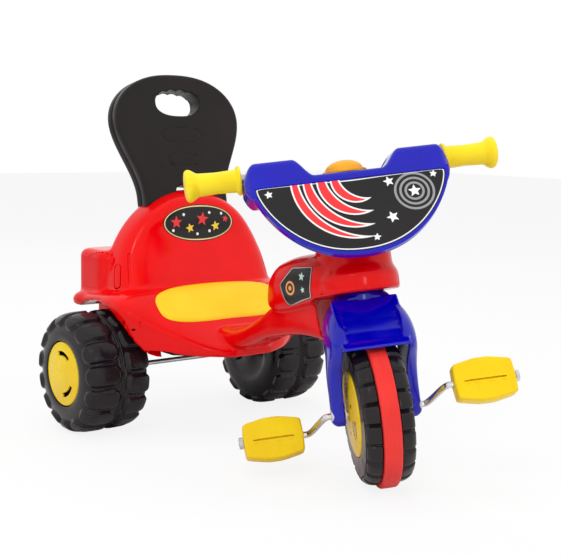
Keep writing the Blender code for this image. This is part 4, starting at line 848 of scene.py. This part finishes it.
mesh = skin(np.concatenate([hub, right, seat, left[::-1], hub[::-1] * (-1, 1, 1)]), ring=True)
piece("blown_front_wheel", mesh, WHEEL, tyre, "front_wheel", ["front_tyre"], 50)


# Red tread band
# A softer red strip, 24 mm wide, shrunk on the middle of the front wheel, with a mould line, a worn and
# finely scuffed face and slightly rolled edges.
band_red = moulded("band_red", (0.87, 0.045, 0.035), (0.76, 0.03, 0.025), 0.38, 0.6, 0.5)
profile = rounded([(0.0951, -0.012), (0.102, -0.012), (0.1042, -0.0098), (0.1044, -0.0012),
        (0.104, 0.0), (0.1044, 0.0012), (0.1042, 0.0098), (0.102, 0.012),
        (0.0951, 0.012)], 0.0014, 4)
piece("red_tread_band", turned(profile, 200, ring=True), WHEEL @ ALONG_X, band_red, "front_wheel",
      ["tread_band"], 50)


# Front hub discs
# Yellow dished discs, 118 mm across, pressed into both sides of the front wheel. Each has three nests of
# black arcs printed on it, with a dot between them.
def inked(nodes, colour, key, ink):
    """Paints an ink over a colour where the mesh's own distance into the printed shape is positive."""
    inside = nodes.add("ShaderNodeAttribute", attribute_name=key).outputs["Fac"]
    return nodes.mix(nodes.ramp(inside, -0.0003, 0.0003), colour, (*ink, 1))


def arc_print(nodes, shader, group):
    nodes.link(inked(nodes, group.outputs["Colour"], "arcs", (0.02, 0.015, 0.01)),
               shader.inputs["Base Color"])


disc_yellow = moulded("disc_yellow", (0.93, 0.66, 0.004), (0.86, 0.56, 0.003), 0.26, 0.42, 0.12,
        extra=arc_print)
profile = rounded([(0.0049, 0.0284), (0.0588, 0.0284), (0.0588, 0.0336), (0.057, 0.0346),
        (0.053, 0.0346), (0.0505, 0.0352)], 0.0012, 4)
profile += [(r, 0.0382 - 0.003 * ((r - 0.012) / 0.0385) ** 2) for r in np.linspace(0.0495, 0.012, 44)]
profile += [(0.011, 0.0388), (0.0049, 0.0388)]
radius = np.array(profile)[:, :1]
angle = circle(240)[None]
turn_by_third = (angle + pi / 3) % (2 * pi / 3) - pi / 3
ahead, aside = radius * np.cos(turn_by_third) - 0.015, radius * np.sin(turn_by_third)
away = np.hypot(ahead, aside)
arcs = np.max([0.0011 + k * 0.0001 - np.abs(away - reach)
        for k, reach in enumerate((0.01, 0.0155, 0.021, 0.0265))], axis=0)
arcs = np.minimum(arcs, (0.62 - np.abs(np.arctan2(aside, ahead))) * 0.02)
between = angle % (2 * pi / 3) - pi / 3
dots = 0.003 - np.hypot(radius * np.cos(between) - 0.026, radius * np.sin(between))
arcs = np.where(np.array(profile)[:, 1:] > 0.034, np.maximum(arcs, dots), -0.01)
for name, turn in SIDES.items():
    disc = turned(profile, 240, ring=True)
    disc.attributes.new("arcs", "FLOAT", "POINT").data.foreach_set("value", arcs.ravel())
    piece(f"yellow_disc_{name}", disc, WHEEL @ turn @ ALONG_X, disc_yellow,
          "front_wheel", [f"front_hub_disc_{name}"], 40)


# Crank axle
# One bright steel rod of 9 mm: front axle, both S-bent cranks and both pedal pins.
# It is bent cold, plated, and runs in nylon bushes in the fork's feet.
steel, nodes, output = new_material("bright_steel")
place = nodes.place()
fine = nodes.noise(place, 260.0, 4.0)
broad = nodes.noise(place, 30.0, 3.0)
shader = nodes.add("ShaderNodeBsdfPrincipled", {
    "Base Color": nodes.mix(nodes.ramp(broad, 0.4, 0.7), (0.72, 0.72, 0.73, 1), (0.52, 0.5, 0.49, 1)),
    "Metallic": 1.0,
    "Roughness": nodes.ramp(fine, 0.3, 0.8, 0.16, 0.34),
})
nodes.link(shader.outputs[0], output)


def swept(path, radius, sides=24):
    """A round bar along a path that lies in one plane, with its rings square to the path."""
    path = np.asarray(path, float)
    ahead = np.gradient(path, axis=0)
    ahead /= np.linalg.norm(ahead, axis=1)[:, None]
    side = np.array([0.0, 1.0, 0.0])
    up = np.cross(ahead, side)
    t = circle(sides)
    return skin(path[:, None] + radius * (np.cos(t)[:, None] * side + np.sin(t)[:, None] * up[:, None]))


t = np.linspace(0, 1, 33)
bend = np.column_stack([0.066 + 0.026 * t, 0 * t, 0.056 * (0.5 - 0.5 * np.cos(pi * t))])
half_path = np.concatenate([[(0.03, 0, 0)], bend, [(0.12, 0, 0.056), (0.187, 0, 0.056)]])
path = np.concatenate([-half_path[::-1], half_path])
piece("bent_crank", swept(path, 0.0045), WHEEL, steel, "front_wheel", ["crank_axle"], 50)


# Pedals
# Yellow blocks with softly tapered ends, 84 x 60 x 22 mm, with a thin slot along each face, a row of short
# sink marks and small dots beside it.
def pedal_block():
    """A block whose outline mirrors one quarter, with rounded edges, slots and sink marks."""
    quarter = [(0.042, 0), (0.0405, 0.0225), (0.036, 0.0245), (0.01, 0.0298)]
    upper = quarter + [(-x, y) for x, y in quarter[::-1]]
    outline = spread(rounded(upper + [(-x, -y) for x, y in upper[1:]], 0.006, 5), 161)[:-1]
    rows = []
    for a in np.linspace(0, pi / 2, 7):
        rows.append((-0.011 + 0.0035 * (1 - sin(a)), 0.0035 * (1 - cos(a))))
    rows = rows[::-1] + [(-z, inset) for z, inset in rows]
    size = np.abs(outline).max(0)
    rings = [level(outline * (1 - inset / size), z) for z, inset in rows]
    block = work(skin(rings))
    cut(block, work(rod(0.005, -0.1, 0.1, 24), ALONG_X))
    marks = []
    for face in (-1, 1):
        low, high = sorted((face * 0.0072, face * 0.014))
        bars = [(0.0, -0.0012, 0.029, 0.0014), (-0.024, -0.0058, 0.0026, 0.0008),
                (-0.012, -0.006, 0.004, 0.0005), (0.008, -0.006, 0.0045, 0.0005),
                (0.024, -0.0056, 0.003, 0.0005)]
        for i, (x, y, wide, tall) in enumerate(bars):
            bottom = low if face > 0 else high
            bottom = bottom if i == 0 else face * 0.0104
            bar = superellipse(wide, tall, 4, 24) + (x, y * face)
            marks.append(work(skin([level(bar, z) for z in (bottom, face * 0.014)])))
        for x in (-0.018, -0.012, 0.006, 0.014):
            marks.append(work(rod(0.0008, *sorted((face * 0.0104, face * 0.014)), 12),
                    moved(x, -0.0095 * face, 0)))
    return lift(cut(block, gather(marks)))


for name in ("right", "left"):
    pin = joints[f"pedal_{name}_spin"]["pos_m"]
    place = STEER @ tilted(70)
    place.translation = Vector(pin)
    piece(f"pedal_block_{name}", pedal_block(), place, yellow, f"pedal_{name}",
          [f"pedal_{name}"], 30)


# Fork
# Glossy blue moulding with two legs, a narrow crown and a mudguard over the wheel. The legs spread towards
# the guard's lip and stand proud of its apron, with a rounded valley between.
GUARD_RADIUS = 0.112
blue = moulded("blue_plastic", (0.001, 0.001, 0.47), (0.0, 0.0, 0.38), 0.12, 0.2, 0.05, shine=0.45)
stations = (
    (-0.015, 0.0555, 0.008, -0.013), (-0.011, 0.0605, 0.012, -0.013), (0.0000, 0.0615, 0.015, -0.013),
    (0.03, 0.0615, 0.0185, -0.0145), (0.05, 0.0615, 0.0245, -0.0175), (0.065, 0.0612, 0.0335, -0.024),
    (0.08, 0.0605, 0.046, -0.033), (0.095, 0.06, 0.052, -0.032), (0.108, 0.0592, 0.0525, -0.0265),
    (0.124, 0.056, 0.0485, -0.0175), (0.137, 0.05, 0.042, -0.011), (0.15, 0.041, 0.0355, -0.005),
    (0.158, 0.036, 0.029, -0.001),
)
rings = []
for z, side, depth, back in smooth_rows(stations, 72):
    outline = superellipse(side, depth, 3.4, 96)
    rings.append(level(outline + (0, back), z))
legs = work(skin(rings))
apron = [(-0.031, 0.154), (-0.043, 0.139), (-0.0545, 0.123), (-0.068, 0.106), (-0.0895, 0.0845)]
before = apron + [(-0.13, 0.0845), (-0.13, 0.154)]
under = [(-TRAIL - GUARD_RADIUS * cos(a), GUARD_RADIUS * sin(a))
        for a in np.linspace(radians(48), radians(96), 16)]
flanks = prism(before, (-0.038, 0.038))
cut(legs, work(rod(GUARD_RADIUS, -0.044, 0.044, 96), moved(0, -TRAIL, 0) @ ALONG_X), work(flanks))
filling = prism(apron + under, (-0.046, 0.046))
guard = []
for a in np.linspace(radians(48), radians(128), 48):
    section = np.array(rounded([(0, 0), (-1, 0), (-1, 1), (1, 1), (1, 0), (0, 0)], 0.02, 3))
    reach = GUARD_RADIUS + 0.004 * section[:, 1]
    x = 0.044 * section[:, 0]
    guard.append(np.column_stack([x, -TRAIL - reach * cos(a), reach * sin(a)])[:-1])
collar = turned([(0.0205, 0.15), (0.0205, 0.1612), (0.035, 0.1612), (0.035, 0.15)], 96, ring=True)
fork = fused([legs, work(filling), work(skin(guard)), work(collar)], 0.0016, 7)
cut(fork, work(rod(0.0113, 0.1197, 0.17)))
cut(fork, work(rod(0.0083, -0.1, 0.1), moved(0, -TRAIL, 0) @ ALONG_X))
cut(fork, work(rod(0.0033, -0.1, 0.1, 16), moved(0, 0, 0.143) @ ALONG_X))
piece("blue_fork", lift(fork), STEER, blue, "steering", ["fork"], 40)


# Grips
# Soft yellow sleeves, 31 mm thick, with a small inner flange and a round outer one.
BAR_HEIGHT = 0.334
grip_yellow = moulded("grip_yellow", (0.95, 0.73, 0.018), (0.9, 0.64, 0.01), 0.3, 0.46, 0.1)
for name, turn in SIDES.items():
    profile = rounded([(0.0083, 0.1415), (0.02, 0.1415), (0.0205, 0.1435), (0.02, 0.1455),
            (0.016, 0.1475), (0.0148, 0.175), (0.016, 0.201), (0.0205, 0.207),
            (0.0225, 0.211), (0.0222, 0.215), (0.0195, 0.2178), (0.01, 0.2195),
            (0.0001, 0.2195)], 0.003, 6)
    profile = [(0.0001, 0.2078), (0.0083, 0.2078)] + profile
    place = STEER @ moved(0, 0.003, BAR_HEIGHT) @ turn @ ALONG_X
    piece(f"yellow_grip_{name}", turned(profile, 72), place, grip_yellow, "steering",
          [f"grip_{name}"], 40)


# Handlebar housing and half-moon face
# Two glossy blue half shells screwed together round the bar. The front one carries a half-moon face with a
# raised rim, where the printed sheet lies. Its wings stand above a low middle that seats the horn.
LEAN = radians(18)
FACE = STEER @ moved(0, -0.045, BAR_HEIGHT) @ Matrix.Rotation(-LEAN, 4, "X")


def housing_block(shrink, stations):
    """Upright sections along X: front leaning face, rounded top that dips in the middle, flat back."""
    limit = 0.14 - shrink
    rings = []
    for x in np.unique(np.clip(stations, -limit, limit)):
        reach = abs(x)
        t = np.clip((reach - 0.046) / 0.028, 0, 1)
        wing = -0.011 + 0.0265 * (3 * t ** 2 - 2 * t ** 3)
        fall = np.clip((reach - 0.124) / 0.016, 0, 1)
        top = BAR_HEIGHT + (wing - 0.022 * fall ** 2) * cos(LEAN) - shrink
        end = np.clip((reach - 0.126) / 0.014, 0, 1) ** 2
        low = 0.292 + shrink + 0.016 * end
        back = 0.022 - shrink - 0.006 * end
        lean = np.tan(LEAN)
        front_top = -0.045 + (top - BAR_HEIGHT) * lean + shrink + 0.012 * end
        front_low = -0.045 + (low - BAR_HEIGHT) * lean + shrink + 0.012 * end
        start = ((front_low + back) / 2, low)
        section = [start, (front_low, low), (front_top, top), (back, top), (back, low), start]
        section = spread(rounded(section, 0.0065, 6), 65)[:-1]
        rings.append(np.column_stack([np.full(64, x), section]))
    return work(skin(rings))


def half_moon(inset, count=120):
    """The face's outline: nearly straight above, one full curve below, f(x) = (1 - |x|^2.2)^0.7."""
    half = 0.135 - inset
    top, bottom = -0.018 - inset, -0.134 + inset
    x = half * np.cos(np.linspace(0, pi, count))
    fall = np.clip(1 - np.abs(x / half) ** 2.2, 0, 1) ** 0.7
    lower = np.column_stack([x, top - 0.004 + (bottom - top + 0.004) * fall])
    upper = np.column_stack([np.linspace(-half, half, 40)[1:-1], np.full(38, top)])
    return np.concatenate([[(half, top - 0.001)], lower[1:-1], [(-half, top - 0.001)], upper])


def standing(outline, depths):
    """Rings of an (x, z) outline along Y."""
    return skin([upright(outline, y) for y in depths])


ends = 0.14 - 0.016 * np.linspace(1, 0, 12) ** 2
stations = np.concatenate([-ends, np.linspace(-0.122, 0.122, 90), ends])
coarse = np.concatenate([-ends[::3], np.linspace(-0.12, 0.12, 31), ends[::3]])
outer = housing_block(0.0, stations)
hollow = housing_block(0.0026, coarse)
bar = moved(0, 0.003, BAR_HEIGHT) @ ALONG_X
shell = cut(outer, hollow, work(rod(0.0083, -0.2, 0.2), bar), work(rod(0.025, 0.1, 0.302, 48)))
cover = work(shell.data.copy())
SEAM, SEAM_GAP, REACH = 0.003, 0.0003, 0.2
for part, y in ((shell, SEAM - SEAM_GAP / 2 - REACH), (cover, SEAM + SEAM_GAP / 2)):
    corners = [(-0.3, y), (0.3, y), (0.3, y + REACH), (-0.3, y + REACH)]
    combine(part, work(skin([level(corners, z) for z in (0.1, 0.5)])), "INTERSECT")
plate = work(standing(half_moon(0.0), (-0.0012, 0.009)))
cut(plate, work(standing(half_moon(0.0035), (0.0025, 0.02))),
    work(standing(half_moon(0.005), (-0.01, -0.0004))))
plate.data.transform(STEER.inverted() @ FACE)
cut(plate, housing_block(0.0013, coarse))
combine(shell, plate, "UNION")
piece("blue_front_panel", lift(shell), STEER, blue, "steering", ["front_panel"], 30)
piece("blue_rear_cover", lift(cover), STEER, blue, "steering", ["panel_rear_cover"], 30)


# Printed sheets
# Three thin vinyl films: on the half-moon face, on the dome's front as an oval and on the tank's right
# side. They carry plain sweeps, stars and dots in the toy's own colours.
def star(x, y, centre, size, turn=0.0):
    """Distance into a five-pointed star, from its edge's polar line between tip and notch."""
    dx, dy = x - centre[0], y - centre[1]
    angle = np.abs((np.arctan2(dy, dx) - radians(90 + turn) + pi / 5) % (2 * pi / 5) - pi / 5)
    notch = 0.43 * size
    edge = size * notch * sin(pi / 5) / (size * np.sin(angle) + notch * np.sin(pi / 5 - angle))
    return edge - np.hypot(dx, dy)


def all_stars(x, y, spots):
    """Distance into the nearest of several stars, each with its centre, size and turn."""
    return np.max([star(x, y, spot[:2], *spot[2:]) for spot in spots], axis=0)


def film_finish(name, inks):
    """A glossy black film, with one ink over the other."""

    def paint(nodes, shader, group):
        colour = group.outputs["Colour"]
        for key, ink in inks:
            colour = inked(nodes, colour, key, ink)
        nodes.link(colour, shader.inputs["Base Color"])
    return moulded(name, (0.01, 0.008, 0.008), (0.007, 0.006, 0.006), 0.16, 0.26, 0.03, shine=0.35,
            extra=paint)


def film(name, lower, upper, place, body, finish, marks):
    """A closed film between two laid surfaces, with its printed shapes as distances on its points."""
    mesh = skin(np.concatenate([lower[::-1], upper]))
    for key, value in marks.items():
        both = np.concatenate([value[::-1], value])
        mesh.attributes.new(key, "FLOAT", "POINT").data.foreach_set("value", both.ravel())
    return piece(name, mesh, place, finish, body, (), 40)


white_ink, red_ink, grey_ink = (0.86, 0.86, 0.85), (0.8, 0.035, 0.04), (0.3, 0.3, 0.31)
edge = half_moon(0.0062)
edge = spread(np.concatenate([edge, edge[:1]]), 421)[:-1]
shares = np.linspace(1, 0.01, 110)[:, None, None]
middle = np.array([0, -0.055])
flat = middle + (edge - middle) * shares
x, z = flat[..., 0], flat[..., 1]
lower = np.stack([x, np.full(x.shape, -0.00035), z], -1)
upper = lower - (0, 0.00035, 0)
rays = ((0.088, 150, 262, 0.0046), (0.071, 156, 268, 0.0056), (0.052, 150, 272, 0.006),
        (0.034, 148, 276, 0.0052))
away = np.hypot(x - 0.012, z + 0.022)
bearing = np.degrees(np.arctan2(z + 0.022, x - 0.012)) % 360
strokes = []
for reach, start, stop, width in rays:
    along = (bearing - start) / (stop - start)
    strokes.append(width * np.clip(4 * along * (1 - along), -1, 1) - np.abs(away - reach))
strokes = np.max(strokes, axis=0)
rings = np.max([0.0016 - np.abs(np.hypot(x - 0.082, z + 0.052) - r) for r in (0.012, 0.019, 0.026)], axis=0)
stars = all_stars(x, z, (
    (0.082, -0.052, 0.0095, 0), (0.05, -0.034, 0.008, 12), (0.112, -0.03, 0.006, -14),
    (0.046, -0.086, 0.009, 20), (-0.112, -0.034, 0.0065, 8), (0.02, -0.112, 0.006, -10)))
border = 0.0008 - np.abs((1 - shares[..., 0]) * np.hypot(*(edge - middle).T) - 0.0022)
marks = {"white": np.maximum(strokes + 0.0022, border), "red": strokes, "grey": rings, "stars": stars}
film("face_film", lower, upper, FACE, "steering", film_finish("face_print", (
    ("grey", grey_ink), ("white", white_ink), ("red", red_ink), ("stars", white_ink))), marks)

OVAL_HEIGHT, OVAL_HALF, OVAL_RISE = 0.3254, 0.068, 0.0297
a = circle(200)
oval = np.stack([-0.002 + OVAL_HALF * np.cos(a), OVAL_HEIGHT + OVAL_RISE * np.sin(a)], 1)
FRONT = BODY @ tilted(90)
laid, shares = laid_sheet(oval, 50, 0.2, body_shell, FRONT)
x, z = laid[..., 0], laid[..., 1]
rim = (1 - shares[:, None]) * np.hypot(OVAL_HALF * np.cos(a), OVAL_RISE * np.sin(a))
rise = z - OVAL_HEIGHT
oval_stars = ((-0.046, 0.002, 0.011, 0), (-0.02, -0.008, 0.0085, 15), (0.004, 0.006, 0.012, -8),
        (0.03, -0.006, 0.009, 10), (0.05, 0.005, 0.0065, -12))
dots = np.max([0.0024 - np.hypot(x - cx, rise - cz) for cx, cz in (
    (-0.032, 0.014), (-0.006, -0.018), (0.018, 0.016), (0.018, -0.014), (0.042, 0.014),
    (-0.052, -0.011))], axis=0)
marks = {"border": 0.001 - np.abs(rim - 0.0026), "stars": all_stars(x, rise, oval_stars[::2]),
        "suns": all_stars(x, rise, oval_stars[1::2]), "dots": dots}
film("dome_film", laid + (0, 0, 0.0001), laid + (0, 0, 0.0005), FRONT, "body", film_finish("dome_print", (
    ("border", (0.8, 0.66, 0.3)), ("stars", red_ink), ("suns", (0.9, 0.66, 0.05)),
    ("dots", white_ink))), marks)

corners = np.array([(-0.318, 0.262), (-0.3345, 0.232), (-0.389, 0.252), (-0.3885, 0.295), (-0.345, 0.29)])
corners = np.array(rounded(list(corners) + [corners[0]], 0.004, 5))
side = spread(np.concatenate([corners, corners[:1]]), 161)[:-1]
SIDE = BODY @ Matrix(((0, 0, -1, 0), (-1, 0, 0, 0), (0, 1, 0, 0), (0, 0, 0, 1)))
side = side * (-1, 1)
laid, shares = laid_sheet(side, 40, 0.2, body_shell, SIDE)
y, z = laid[..., 0], laid[..., 1]
middle = side.mean(0)
rim = (1 - shares[:, None]) * np.hypot(*(side - middle).T)
ring = np.hypot(y - 0.344, z - 0.26)
marks = {"border": 0.0006 - np.abs(rim - 0.0016),
        "ring": np.maximum(0.0016 - np.abs(ring - 0.0085), 0.0035 - ring),
        "stars": all_stars(y, z, ((0.368, 0.279, 0.007, 0), (0.372, 0.261, 0.005, 20)))}
film("tank_film", laid + (0, 0, 0.0001), laid + (0, 0, 0.0005), SIDE, "body", film_finish("tank_print", (
    ("border", (0.75, 0.55, 0.5)), ("ring", (0.85, 0.35, 0.1)), ("stars", (0.55, 0.75, 0.62)))), marks)


# Horn
# An orange rubbery push dome in its own ring, on the housing's low middle.
# Both are soft moulded plastic, and a spring under the dome brings it back up.
orange = moulded("orange_plastic", (0.88, 0.42, 0.025), (0.8, 0.34, 0.018), 0.34, 0.5, 0.16)
HORN = STEER @ moved(0, -0.012, 0)
seat = BAR_HEIGHT - 0.011 * cos(LEAN)
profile = rounded([(0.027, seat + 0.0003), (0.031, seat + 0.0003), (0.031, seat + 0.0045),
        (0.03, seat + 0.0053), (0.0275, seat + 0.0053)], 0.0008, 4)
piece("orange_horn_ring", turned(profile, 96, ring=True), HORN, orange, "steering",
      ["horn_ring"], 50)
a = np.linspace(0, pi / 2, 16)
crown = [(0.0264 * cos(t), seat + 0.0053 + 0.0147 * sin(t)) for t in a]
profile = [(0.0001, seat + 0.0045), (0.0264, seat + 0.0045)] + crown
piece("orange_horn_dome", turned(profile, 96), HORN, orange, "horn", ["horn_button"], 50)


# Carried-over small parts
# Steel tube, pins, screws and nuts, nylon bushes and the black floor pan keep their CAD shapes.
# The lower head bush is blue, because it shows between the fork's crown and the tank's lip.
nylon = moulded("white_nylon", (0.78, 0.78, 0.75), (0.7, 0.7, 0.66), 0.4, 0.6, 0.2)
for name, node in frame["nodes"].items():
    finish = None
    if name in ("base_pan", "handlebar_clamp"):
        finish = black
    elif name == "head_bush_lower":
        finish = blue
    elif "bush" in name or "spacer" in name:
        finish = nylon
    elif any(word in name for word in ("screw", "axle", "nut", "pin", "stem", "bolt", "tube")):
        finish = steel
    if finish:
        for slot in node.material_slots:
            slot.material = finish
